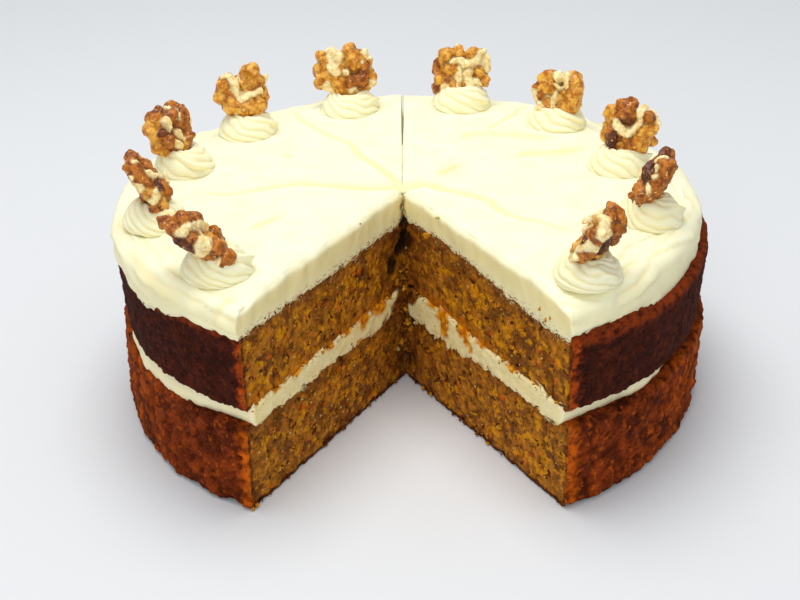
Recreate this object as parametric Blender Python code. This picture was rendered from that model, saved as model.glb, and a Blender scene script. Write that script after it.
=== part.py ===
"""A round two-layer carrot cake, portioned in twelve, with two portions taken out.

Units are metres, +Z is up. The origin is the middle of the round, on the flat underside, and the missing
wedge opens towards -Y. From the bottom up: lower sponge, filling, upper sponge, frosting, then on each
portion a piped swirl with a walnut half pressed into it.
"""

import math

import bmesh
import bpy
from mathutils import Matrix, Vector

# ---- driving dimensions -------------------------------------------------------------------------------
CAKE_RADIUS = 0.117
LOWER_HEIGHT = 0.0343
FILLING_HEIGHT = 0.0070
UPPER_HEIGHT = 0.0284
FROSTING_HEIGHT = 0.0145
TOUCH_GAP = 0.0003

# The corner where the knife's two cuts meet, and the cuts' directions from it.
WEDGE_TIP = Vector((-0.0036, -0.0030, 0.0))
RIGHT_CUT = math.radians(-60.4)
LEFT_CUT = math.radians(-120.4)

# Radius and middle of each layer's rim. Both sponges lean out towards the top, and the frosting is spread
# off centre, so it overhangs at the left and stops short of the crust at the right.
LOWER_BASE_RIM = (0.990 * CAKE_RADIUS, Vector((-0.0012, -0.0012, 0.0)))
LOWER_TOP_RIM = (CAKE_RADIUS, Vector((0.0, 0.0, 0.0)))
FILLING_RIM = (0.966 * CAKE_RADIUS, Vector((-0.0030, -0.0012, 0.0)))
UPPER_BASE_RIM = (0.975 * CAKE_RADIUS, Vector((0.0, -0.0035, 0.0)))
UPPER_TOP_RIM = (1.000 * CAKE_RADIUS, Vector((0.0, -0.0012, 0.0)))
FROSTING_RIM = (0.985 * CAKE_RADIUS, Vector((-0.0022, -0.0035, 0.0)))
EDGE_ROUND = 0.0014
FILLING_BULGE = 0.0012
FROSTING_ROUND = 0.0060
FROSTING_TUCK = 0.0008

# Slow waves in each rim: how many times round, how far in or out, and the phase.
LOWER_WAVES = ((3, 0.0005, 0.4), (8, 0.0004, 2.0))
UPPER_WAVES = ((2, 0.0004, 1.2), (7, 0.0003, 0.3))
FILLING_WAVES = ((6, 0.0006, 1.0), (11, 0.0004, 2.0))
FROSTING_WAVES = ((5, 0.0004, 0.6), (9, 0.0003, 1.4))

# Knife marks in the frosting, from the wedge's corner outwards: direction in degrees and depth. The one
# at the back is nearly through.
KNIFE_MARKS = ((59, 0.0012), (89.3, 0.0110), (117, 0.0016), (176, 0.0012), (-30, 0.0014))
KNIFE_WIDTH = 0.0010
KNIFE_START = 0.06 * CAKE_RADIUS
KNIFE_END = 1.15 * CAKE_RADIUS

# A swirl is a low dome whose ridges wind inwards as they climb.
SWIRL_RADIUS = 0.0122
SWIRL_HEIGHT = 0.0100
SWIRL_RIDGES = 7
SWIRL_TWIST = math.radians(170)
SWIRL_RIDGE_DEPTH = 0.085
SWIRL_SHOULDER = 0.75
SWIRL_CROWN = 0.88
SWIRL_FIRST_RIDGE = 1.3

# A walnut half is two lobes joined at the foot, hollowed on its flat side and domed on the other.
WALNUT_WIDTH = 0.0250
WALNUT_LENGTH = 0.0270
WALNUT_THICKNESS = 0.0115
WALNUT_DEPTH_IN_SWIRL = 0.0068
WALNUT_CLEARANCE = 2 * TOUCH_GAP
NOTCH_WIDTH = 0.30

# Each ring of a walnut half: share of the outline, share of the thickness, and how folded it is.
WALNUT_RINGS = (
    (0.34, -0.34, 0.04),
    (0.64, -0.50, 0.10),
    (0.96, -0.24, 0.00),
    (1.00, 0.10, 0.00),
    (0.64, 0.44, 0.12),
)
WALNUT_HOLLOW = -0.22
WALNUT_FURROW = 0.34

# One row a portion. In degrees: the swirl's direction from the middle, then the direction the walnut's
# flat side faces, the direction it leans and how far it leans. Then the swirl's distance as a share of the
# cake's radius, how far the walnut's foot is set against the lean, the depth of its notch, and its width
# and length as shares.
PORTIONS = (
    (-133.4, 8, 180, 52, 0.870, 0.0065, 0.30, 0.95, 1.16),
    (-163.8, 8, 180, 31, 0.867, 0.0055, 0.30, 0.95, 1.04),
    (166.2, -35, 175, 16, 0.819, 0.0000, 0.20, 0.95, 0.92),
    (138.3, -72, 140, 18, 0.791, 0.0020, 0.60, 0.90, 0.97),
    (106.3, -84, 110, 14, 0.781, 0.0000, 0.52, 1.05, 0.88),
    (75.6, -92, 78, 14, 0.795, 0.0000, 0.34, 1.05, 0.87),
    (45.1, -112, 20, 18, 0.772, 0.0030, 0.20, 0.90, 0.80),
    (10.3, -112, 10, 18, 0.736, 0.0010, 0.45, 0.90, 0.95),
    (-21.4, 172, 0, 33, 0.816, 0.0065, 0.25, 0.92, 1.02),
    (-53.4, 160, 0, 34, 0.877, 0.0060, 0.40, 0.92, 1.03),
)

ARC_STEPS = 58
FACE_STEPS = 5
ROUND_STEPS = 4
SWIRL_STEPS = 28
SWIRL_ROWS = 5
WALNUT_STEPS = 26


# ---- shared helpers -----------------------------------------------------------------------------------
def clear_scene():
    for obj in list(bpy.data.objects):
        bpy.data.objects.remove(obj)


def material(name, colour, roughness):
    made = bpy.data.materials.new(name)
    made.use_nodes = True
    shader = made.node_tree.nodes["Principled BSDF"]
    shader.inputs["Base Color"].default_value = (*colour, 1.0)
    shader.inputs["Roughness"].default_value = roughness
    return made


def link_object(name, bm):
    bmesh.ops.recalc_face_normals(bm, faces=bm.faces)
    mesh = bpy.data.meshes.new(name)
    bm.to_mesh(mesh)
    bm.free()
    obj = bpy.data.objects.new(name, mesh)
    bpy.context.scene.collection.objects.link(obj)
    return obj


def finish_object(name, bm, paint, smooth_degrees):
    """Smooth shading, with an edge left sharp where its faces turn by more than the given angle."""
    obj = link_object(name, bm)
    obj.data.shade_smooth()
    obj.data.set_sharp_from_angle(angle=math.radians(smooth_degrees))
    obj.data.materials.append(paint)
    return obj


def cut_with(obj, cutter):
    cutter.hide_render = True
    cutter.display_type = "WIRE"
    cut = obj.modifiers.new("cut", "BOOLEAN")
    cut.operation = "DIFFERENCE"
    cut.solver = "EXACT"
    cut.object = cutter


def bridge(bm, lower, upper):
    """Quads between two closed rings of the same length."""
    count = len(lower)
    for i in range(count):
        j = (i + 1) % count
        bm.faces.new((lower[i], lower[j], upper[j], upper[i]))


def close_with_point(bm, ring, point):
    tip = bm.verts.new(point)
    for i in range(len(ring)):
        bm.faces.new((ring[i], ring[(i + 1) % len(ring)], tip))


# ---- the round layers ---------------------------------------------------------------------------------
def level(angle):
    return Vector((math.cos(angle), math.sin(angle), 0.0))


def rim_point(angle, rim, inset, waves):
    """Where a line from the wedge's corner meets the rim, so that both cuts are flat from top to base."""
    radius, middle = rim
    reach = radius - inset + sum(size * math.sin(times * angle + phase) for times, size, phase in waves)
    from_middle = WEDGE_TIP - middle
    along = from_middle.dot(level(angle))
    distance = math.sqrt(along**2 - from_middle.length_squared + reach**2) - along
    return WEDGE_TIP + level(angle) * distance


def outline(rim, inset, waves):
    """A layer seen from above: out along the right cut, round the side, back along the left cut."""
    turn = LEFT_CUT + 2 * math.pi - RIGHT_CUT
    angles = [RIGHT_CUT + turn * step / ARC_STEPS for step in range(ARC_STEPS + 1)]
    arc = [rim_point(angle, rim, inset, waves) for angle in angles]
    right = [WEDGE_TIP.lerp(arc[0], step / FACE_STEPS) for step in range(FACE_STEPS)]
    left = [arc[-1].lerp(WEDGE_TIP, step / FACE_STEPS) for step in range(1, FACE_STEPS)]
    return right + arc + left


def layer(name, rows, waves, paint):
    """A solid with a flat base and top, from rows of height, rim and inset."""
    bm = bmesh.new()
    rings = []
    for height, rim, inset in rows:
        lift = Vector((0.0, 0.0, height))
        rings.append([bm.verts.new(point + lift) for point in outline(rim, inset, waves)])
    for lower, upper in zip(rings, rings[1:]):
        bridge(bm, lower, upper)
    bm.faces.new(reversed(rings[0]))
    bm.faces.new(rings[-1])
    return finish_object(name, bm, paint, 40)


def sponge(name, base, height, rims, waves, paint):
    """A baked layer with straight leaning sides between two softened rims."""
    low, high = rims
    rows = (
        (base, low, EDGE_ROUND),
        (base + EDGE_ROUND, low, 0.0),
        (base + height - EDGE_ROUND, high, 0.0),
        (base + height, high, EDGE_ROUND),
    )
    return layer(name, rows, waves, paint)


def filling(base, height, paint):
    """The cream between the sponges, with a bulging edge."""
    rows = (
        (base, FILLING_RIM, FILLING_BULGE),
        (base + height / 2, FILLING_RIM, 0.0),
        (base + height, FILLING_RIM, FILLING_BULGE),
    )
    return layer("filling", rows, FILLING_WAVES, paint)


def frosting(base, height, paint):
    """The thick top coat: an upright side that rolls over into the flat top, marked by the knife."""
    top = base + height
    rows = [(base, FROSTING_RIM, FROSTING_TUCK)]
    for step in range(ROUND_STEPS + 1):
        turn = math.pi / 2 * step / ROUND_STEPS
        height_here = top - FROSTING_ROUND * (1 - math.sin(turn))
        rows.append((height_here, FROSTING_RIM, FROSTING_ROUND * (1 - math.cos(turn))))
    made = layer("frosting", rows, FROSTING_WAVES, paint)
    for degrees, depth in KNIFE_MARKS:
        cut_with(made, knife(math.radians(degrees), depth, top))
    return made


def knife(direction, depth, top):
    """A thin upright blade reaching from near the wedge's corner to past the rim."""
    reach = KNIFE_END - KNIFE_START
    above = 0.005
    centre = Vector((KNIFE_START + reach / 2, 0.0, top + (above - depth) / 2))
    bm = bmesh.new()
    bmesh.ops.create_cube(bm, size=1)
    bmesh.ops.scale(bm, vec=(reach, KNIFE_WIDTH, above + depth), verts=bm.verts)
    bmesh.ops.translate(bm, vec=centre, verts=bm.verts)
    bmesh.ops.rotate(bm, matrix=Matrix.Rotation(direction, 3, "Z"), verts=bm.verts)
    bmesh.ops.translate(bm, vec=WEDGE_TIP, verts=bm.verts)
    return link_object("knife", bm)


# ---- swirls -------------------------------------------------------------------------------------------
def swirl_point(around, up):
    """A point on the ridged dome: up is 0 at the foot and 1 at the peak."""
    turn = up * math.pi / 2
    ridge = math.cos(SWIRL_RIDGES * (around - SWIRL_TWIST * up))
    reach = SWIRL_RADIUS * math.cos(turn) ** SWIRL_SHOULDER * (1 + SWIRL_RIDGE_DEPTH * ridge)
    height = SWIRL_HEIGHT * math.sin(turn) ** SWIRL_SHOULDER
    return Vector((reach * math.cos(around), reach * math.sin(around), height))


def swirl(name, foot, first_ridge, paint):
    bm = bmesh.new()
    rings = []
    for row in range(SWIRL_ROWS):
        up = SWIRL_CROWN * row / (SWIRL_ROWS - 1)
        angles = [2 * math.pi * step / SWIRL_STEPS for step in range(SWIRL_STEPS)]
        rings.append([bm.verts.new(swirl_point(angle, up)) for angle in angles])
    for lower, upper in zip(rings, rings[1:]):
        bridge(bm, lower, upper)
    close_with_point(bm, rings[-1], (0.0, 0.0, SWIRL_HEIGHT))
    bm.faces.new(reversed(rings[0]))
    made = finish_object(name, bm, paint, 60)
    made.matrix_world = Matrix.Translation(foot) @ Matrix.Rotation(first_ridge, 4, "Z")
    return made


# ---- walnut halves ------------------------------------------------------------------------------------
def walnut_outline(from_top, notch, seed):
    """Distance to the outline, as a share of the half size, going round from the notch."""
    lobes = 0.05 * math.sin(5 * from_top + seed) + 0.04 * math.sin(9 * from_top + 1.7 * seed)
    narrow_foot = 0.10 * math.cos(from_top)
    notched = notch * math.exp(-((from_top / NOTCH_WIDTH) ** 2))
    return (1 + lobes + narrow_foot) * (1 - notched)


def walnut_ring_point(from_top, ring, notch, seed):
    share, depth, fold = ring
    folds = fold * math.sin(7 * from_top + 2.3 * seed)
    reach = walnut_outline(from_top, notch, seed) * (share + folds * share)
    spine = 0.7 + 0.3 * abs(math.sin(from_top))
    return Vector((reach * math.sin(from_top), depth * spine * (1 + folds), reach * math.cos(from_top)))


def walnut_mesh(number, notch, half):
    """One half, flat side towards -Y and notch towards +Z."""
    bm = bmesh.new()
    rings = []
    for ring in WALNUT_RINGS:
        verts = []
        for step in range(WALNUT_STEPS):
            angle = 2 * math.pi * step / WALNUT_STEPS
            from_top = (angle + math.pi) % (2 * math.pi) - math.pi
            verts.append(bm.verts.new(walnut_ring_point(from_top, ring, notch, number) * half))
        rings.append(verts)
    for lower, upper in zip(rings, rings[1:]):
        bridge(bm, lower, upper)
    close_with_point(bm, rings[0], (0.0, WALNUT_HOLLOW * half.y, 0.0))
    close_with_point(bm, rings[-1], (0.0, WALNUT_FURROW * half.y, 0.0))
    bmesh.ops.triangulate(bm, faces=bm.faces)
    bmesh.ops.recalc_face_normals(bm, faces=bm.faces)
    return bm


def swell(bm, gap):
    """Move the whole surface outwards by the gap."""
    bm.normal_update()
    for vert in bm.verts:
        vert.co += vert.normal * gap
    return bm


def walnut_turn(faces, leans, lean):
    """Turn the flat side to face a direction, then tip the top over towards the lean direction."""
    facing = Matrix.Rotation(faces + math.pi / 2, 4, "Z")
    return Matrix.Rotation(lean, 4, level(leans + math.pi / 2)) @ facing


def portion(number, row, top, cream, nut):
    direction, faces, leans, lean = (math.radians(angle) for angle in row[:4])
    share, set_back, notch, wide, long = row[4:]
    foot = level(direction) * share * CAKE_RADIUS
    foot.z = top
    piped = swirl(f"swirl_{number:02d}", foot, SWIRL_FIRST_RIDGE * number, cream)
    half = Vector((WALNUT_WIDTH * wide / 2, WALNUT_THICKNESS, WALNUT_LENGTH * long / 2))
    turned = walnut_turn(faces, leans, lean)
    pressed_in = Vector((0.0, 0.0, SWIRL_HEIGHT - WALNUT_DEPTH_IN_SWIRL))
    centre = foot + pressed_in - level(leans) * set_back + turned.to_3x3().col[2] * half.z
    placed = Matrix.Translation(centre) @ turned
    walnut = finish_object(f"walnut_{number:02d}", walnut_mesh(number, notch, half), nut, 80)
    walnut.matrix_world = placed
    pocket = link_object("pocket", swell(walnut_mesh(number, notch, half), WALNUT_CLEARANCE))
    pocket.matrix_world = placed
    cut_with(piped, pocket)


def build():
    clear_scene()
    sponge_paint = material("carrot_sponge", (0.33, 0.12, 0.025), 0.9)
    crust_paint = material("browned_sponge", (0.20, 0.06, 0.018), 0.85)
    cream = material("cream_frosting", (0.90, 0.85, 0.60), 0.45)
    nut = material("walnut_half", (0.35, 0.13, 0.035), 0.45)

    base = 0.0
    lower_rims = (LOWER_BASE_RIM, LOWER_TOP_RIM)
    sponge("sponge_lower", base, LOWER_HEIGHT, lower_rims, LOWER_WAVES, sponge_paint)
    base += LOWER_HEIGHT
    filling(base + TOUCH_GAP, FILLING_HEIGHT - 2 * TOUCH_GAP, cream)
    base += FILLING_HEIGHT
    upper_rims = (UPPER_BASE_RIM, UPPER_TOP_RIM)
    sponge("sponge_upper", base, UPPER_HEIGHT, upper_rims, UPPER_WAVES, crust_paint)
    base += UPPER_HEIGHT
    frosting(base + TOUCH_GAP, FROSTING_HEIGHT - TOUCH_GAP, cream)
    base += FROSTING_HEIGHT
    for number, row in enumerate(PORTIONS, start=1):
        portion(number, row, base + TOUCH_GAP, cream, nut)


build()
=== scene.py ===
"""Looks of a cut carrot cake: two sponges, filling, frosting, piped swirls and walnut halves.

Units are metres, +Z is up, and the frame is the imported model's. Each layer is a closed surface laid out in
columns round the wedge's corner, so its side, its two cut faces and its top share their edges.
"""

import math
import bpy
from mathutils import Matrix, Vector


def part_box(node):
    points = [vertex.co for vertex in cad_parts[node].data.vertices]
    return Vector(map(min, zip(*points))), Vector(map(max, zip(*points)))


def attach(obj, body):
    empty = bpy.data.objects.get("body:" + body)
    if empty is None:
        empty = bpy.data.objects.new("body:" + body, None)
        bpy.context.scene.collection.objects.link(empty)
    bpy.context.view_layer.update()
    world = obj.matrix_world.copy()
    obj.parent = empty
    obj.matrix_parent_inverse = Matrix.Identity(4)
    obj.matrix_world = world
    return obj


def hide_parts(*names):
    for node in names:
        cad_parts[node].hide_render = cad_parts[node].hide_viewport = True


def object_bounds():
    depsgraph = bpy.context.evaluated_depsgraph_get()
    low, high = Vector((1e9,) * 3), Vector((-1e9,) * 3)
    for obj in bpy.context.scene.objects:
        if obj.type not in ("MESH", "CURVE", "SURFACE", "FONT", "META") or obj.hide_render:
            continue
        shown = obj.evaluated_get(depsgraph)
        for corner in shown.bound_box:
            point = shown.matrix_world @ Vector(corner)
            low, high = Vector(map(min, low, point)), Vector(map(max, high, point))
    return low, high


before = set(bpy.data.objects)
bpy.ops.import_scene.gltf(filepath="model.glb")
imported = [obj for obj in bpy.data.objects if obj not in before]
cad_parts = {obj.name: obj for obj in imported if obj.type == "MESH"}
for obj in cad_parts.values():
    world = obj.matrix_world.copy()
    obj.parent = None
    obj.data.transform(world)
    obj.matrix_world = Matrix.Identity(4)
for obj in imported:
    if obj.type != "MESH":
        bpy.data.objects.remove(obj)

from types import SimpleNamespace

import bmesh
import bpy
import numpy as np
from mathutils import Matrix, Vector

CAD_LOW, CAD_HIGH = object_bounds()

# ---- sizes and places ---------------------------------------------------------------------------------
MM = 0.001
CAKE_RADIUS = 0.117

# The corner where the knife's two cuts meet, and the cuts' directions from it.
TIP = np.array((-0.0036, -0.0030))
RIGHT_CUT = math.radians(-60.4)
LEFT_CUT = math.radians(239.6)

# Rims as radius, middle and slow waves (times round, size, phase).
LOWER_WAVES = ((3, 0.0005, 0.4), (8, 0.0004, 2.0))
UPPER_WAVES = ((2, 0.0004, 1.2), (7, 0.0003, 0.3))
FILLING_WAVES = ((6, 0.0006, 1.0), (11, 0.0004, 2.0))
FROSTING_WAVES = ((5, 0.0004, 0.6), (9, 0.0003, 1.4))
LOWER_BASE_RIM = (0.990 * CAKE_RADIUS, (-0.0012, -0.0012), LOWER_WAVES)
LOWER_TOP_RIM = (CAKE_RADIUS, (0.0, 0.0), LOWER_WAVES)
FILLING_RIM = (0.966 * CAKE_RADIUS, (-0.0030, -0.0012), FILLING_WAVES)
UPPER_BASE_RIM = (0.975 * CAKE_RADIUS, (0.0, -0.0035), UPPER_WAVES)
UPPER_TOP_RIM = (1.000 * CAKE_RADIUS, (0.0, -0.0012), UPPER_WAVES)
FROSTING_RIM = (0.985 * CAKE_RADIUS, (-0.0022, -0.0035), FROSTING_WAVES)

LOWER_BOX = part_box("sponge_lower")
FILLING_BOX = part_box("filling")
UPPER_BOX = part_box("sponge_upper")
FROSTING_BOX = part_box("frosting")


# ---- repeatable noise ---------------------------------------------------------------------------------
def unit_slopes():
    """Directions that the gradient noise picks from."""
    picked = np.random.default_rng(7).normal(size=(256, 3))
    return picked / np.linalg.norm(picked, axis=1, keepdims=True)


SLOPES = unit_slopes()


def scramble(cells, seed):
    """A repeatable whole number from 0 to 65535 for each whole-number cell."""
    mixed = cells[:, 0] * 374761393 + cells[:, 1] * 668265263 + cells[:, 2] * 2147483629 + seed * 1274126177
    mixed = (mixed ^ (mixed >> 13)) * 1103515245
    return (mixed ^ (mixed >> 16)) & 0xFFFF


def lumps(places, size, seed):
    """Gradient noise, about -1 to 1, whose lumps are about this size."""
    scaled = places / size
    whole = np.floor(scaled).astype(np.int64)
    part = scaled - whole
    ease = part**3 * (part * (part * 6 - 15) + 10)
    total = np.zeros(len(places))
    for corner in np.ndindex(2, 2, 2):
        step = np.array(corner)
        slope = SLOPES[scramble(whole + step, seed) % len(SLOPES)]
        weight = np.prod(np.where(step, ease, 1 - ease), axis=1)
        total += weight * np.einsum("ij,ij->i", part - step, slope)
    return total * 1.8


def rough_lumps(places, size, seed, octaves=3):
    """Lumps with finer lumps on them, about -1 to 1."""
    total = np.zeros(len(places))
    for octave in range(octaves):
        total += lumps(places, size / 2**octave, seed + 31 * octave) / 2**octave
    return total / 1.5


def grains(places, size, seed):
    """Distance to the nearest scattered seed as a share of the size, and that seed's number from 0 to 1."""
    scaled = places / size
    whole = np.floor(scaled).astype(np.int64)
    nearest = np.full(len(places), 9.0)
    number = np.zeros(len(places))
    for corner in np.ndindex(3, 3, 3):
        cell = whole + np.array(corner) - 1
        shift = np.stack([scramble(cell, seed + axis) for axis in range(3)], axis=1) / 65535
        gap = np.linalg.norm(cell + shift - scaled, axis=1)
        closer = gap < nearest
        number = np.where(closer, shift[:, 0], number)
        nearest = np.where(closer, gap, nearest)
    return nearest, number


def ease_between(value, low, high):
    """0 below low, 1 above high and a soft step between. Low may be the higher number."""
    share = np.clip((value - low) / (high - low), 0, 1)
    return share * share * (3 - 2 * share)


# ---- meshes -------------------------------------------------------------------------------------------
def face_normals(places, quads, tris):
    """Unit normals, adding each face's unit normal at its corners."""
    normals = np.zeros_like(places)
    for faces, ends in ((quads, (0, 2, 1, 3)), (tris, (0, 1, 0, 2))):
        if len(faces) == 0:
            continue
        a, b, c, d = (places[faces[:, end]] for end in ends)
        normal = np.cross(b - a, d - c)
        normal /= np.linalg.norm(normal, axis=1, keepdims=True) + 1e-20
        for corner in range(faces.shape[1]):
            np.add.at(normals, faces[:, corner], normal)
    return normals / (np.linalg.norm(normals, axis=1, keepdims=True) + 1e-20)


def mesh_piece(name, places, quads, tris, paint, values=None):
    """A smooth-shaded object on the cake's one body, with a number per vertex for each named value."""
    mesh = bpy.data.meshes.new(name)
    quads = np.asarray(quads, np.int32).reshape(-1, 4)
    tris = np.asarray(tris, np.int32).reshape(-1, 3)
    corners = np.concatenate([quads.ravel(), tris.ravel()])
    starts = np.concatenate([np.arange(len(quads)) * 4, len(quads) * 4 + np.arange(len(tris)) * 3])
    mesh.vertices.add(len(places))
    mesh.vertices.foreach_set("co", np.asarray(places, np.float32).ravel())
    mesh.loops.add(len(corners))
    mesh.loops.foreach_set("vertex_index", corners.astype(np.int32))
    mesh.polygons.add(len(starts))
    mesh.polygons.foreach_set("loop_start", starts.astype(np.int32))
    mesh.update(calc_edges=True)
    mesh.shade_smooth()
    for key, numbers in (values or {}).items():
        made = mesh.attributes.new(key, "FLOAT", "POINT")
        made.data.foreach_set("value", np.asarray(numbers, np.float32))
    mesh.materials.append(paint)
    piece = bpy.data.objects.new(name, mesh)
    bpy.context.scene.collection.objects.link(piece)
    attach(piece, "root")
    return piece


# ---- layers laid out round the wedge's corner -----------------------------------------------------------
def rim_reach(angles, rim):
    """Distance from the wedge's corner to a rim, at each angle."""
    radius, middle, waves = rim
    reach = radius + sum(size * np.sin(times * angles + phase) for times, size, phase in waves)
    gap = TIP - np.array(middle)
    along = gap[0] * np.cos(angles) + gap[1] * np.sin(angles)
    return np.sqrt(along**2 - gap @ gap + reach**2) - along


def columns(angles, reach, shares, height):
    """Points out from the wedge's corner."""
    flat = TIP + (shares * reach)[:, None] * np.stack([np.cos(angles), np.sin(angles)], axis=1)
    return np.column_stack([flat, np.broadcast_to(height, len(flat))])


def layer_grid(angles, shares, levels, rings):
    """A closed layer. Levels are rows of height and reach, from the bottom up. Rings is how many rings of
    the top, counted in from the rim, keep the grid; what is left inside them is a plain fan."""
    steps, wall = len(shares) - 1, len(angles)
    side_angle = np.concatenate([np.full(steps, RIGHT_CUT), angles, np.full(steps - 1, LEFT_CUT)])
    side_share = np.concatenate([shares[:-1], np.ones(wall), shares[-2:0:-1]])
    count = len(side_angle)
    pick = np.concatenate([np.zeros(steps, int), np.arange(wall), np.full(steps - 1, wall - 1)])
    rows = [columns(side_angle, reach[pick], side_share, height) for height, reach in levels]
    last = (len(levels) - 1) * count
    low = np.arange(len(levels) - 1)[:, None] * count + np.arange(count)
    high = np.roll(low, -1, axis=1)
    quads = [np.stack([low, high, high + count, low + count], axis=2).reshape(-1, 4)]
    angle = [np.tile(side_angle, len(levels))]
    share = [np.tile(side_share, len(levels))]
    zone = [np.tile(np.where(side_share == 1, 0, 1), len(levels))]
    top_height, top_reach = levels[-1]
    outer, next_new = last + np.arange(steps, steps + wall), len(levels) * count
    for ring in range(1, rings + 1):
        inner_share = np.full(wall - 2, shares[steps - ring])
        rows.append(columns(angles[1:-1], top_reach[1:-1], inner_share, top_height))
        inner = np.concatenate(
            [[last + steps - ring], next_new + np.arange(wall - 2), [last + steps + wall - 1 + ring]]
        )
        quads.append(np.stack([outer[:-1], outer[1:], inner[1:], inner[:-1]], axis=1))
        angle.append(angles[1:-1])
        share.append(inner_share)
        zone.append(np.full(wall - 2, 2))
        outer, next_new = inner, next_new + wall - 2
    places = np.concatenate(rows)
    edge = np.concatenate(
        [last + np.arange(steps - rings), outer, last + np.arange(steps + wall + rings, count)]
    )
    if rings == steps - 1:
        tris = [np.stack([outer[:-1], outer[1:], np.full(wall - 1, last)], axis=1)]
    else:
        tris = [fan(edge, len(places))]
        places = np.vstack([places, [*(TIP + (0, FAN_CENTRE)), top_height]])
    tris.append(fan(np.arange(count)[::-1], len(places)))
    places = np.vstack([places, [*(TIP + (0, FAN_CENTRE)), levels[0][0]]])
    spare = len(places) - sum(len(part) for part in angle)
    return SimpleNamespace(
        places=places,
        quads=np.concatenate(quads),
        tris=np.concatenate(tris),
        angle=np.concatenate([*angle, np.full(spare, math.pi / 2)]),
        share=np.concatenate([*share, np.full(spare, 0.4)]),
        zone=np.concatenate([*zone, np.full(spare, 3)]),
    )


FAN_CENTRE = 0.040


def fan(edge, centre):
    """Triangles from one point to a closed run of points."""
    return np.stack([edge, np.roll(edge, -1), np.full(len(edge), centre)], axis=1)


def even_angles(reach, step):
    return np.linspace(RIGHT_CUT, LEFT_CUT, int((LEFT_CUT - RIGHT_CUT) * reach / step) + 1)


def tapered_shares(reach, step, fine, fine_reach):
    """Shares from the corner outwards, closer together near the corner."""
    near = np.arange(0, fine_reach, fine)
    far = np.linspace(fine_reach, reach, int((reach - fine_reach) / step) + 1)
    return np.concatenate([near, far]) / reach


# ---- material recipes -----------------------------------------------------------------------------------
def tone(red, green, blue):
    """A screen colour, 0 to 255, as the linear colour that a shader takes."""
    parts = [part / 255 for part in (red, green, blue)]
    linear = [part / 12.92 if part < 0.04 else ((part + 0.055) / 1.055) ** 2.4 for part in parts]
    return (*linear, 1.0)


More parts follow.
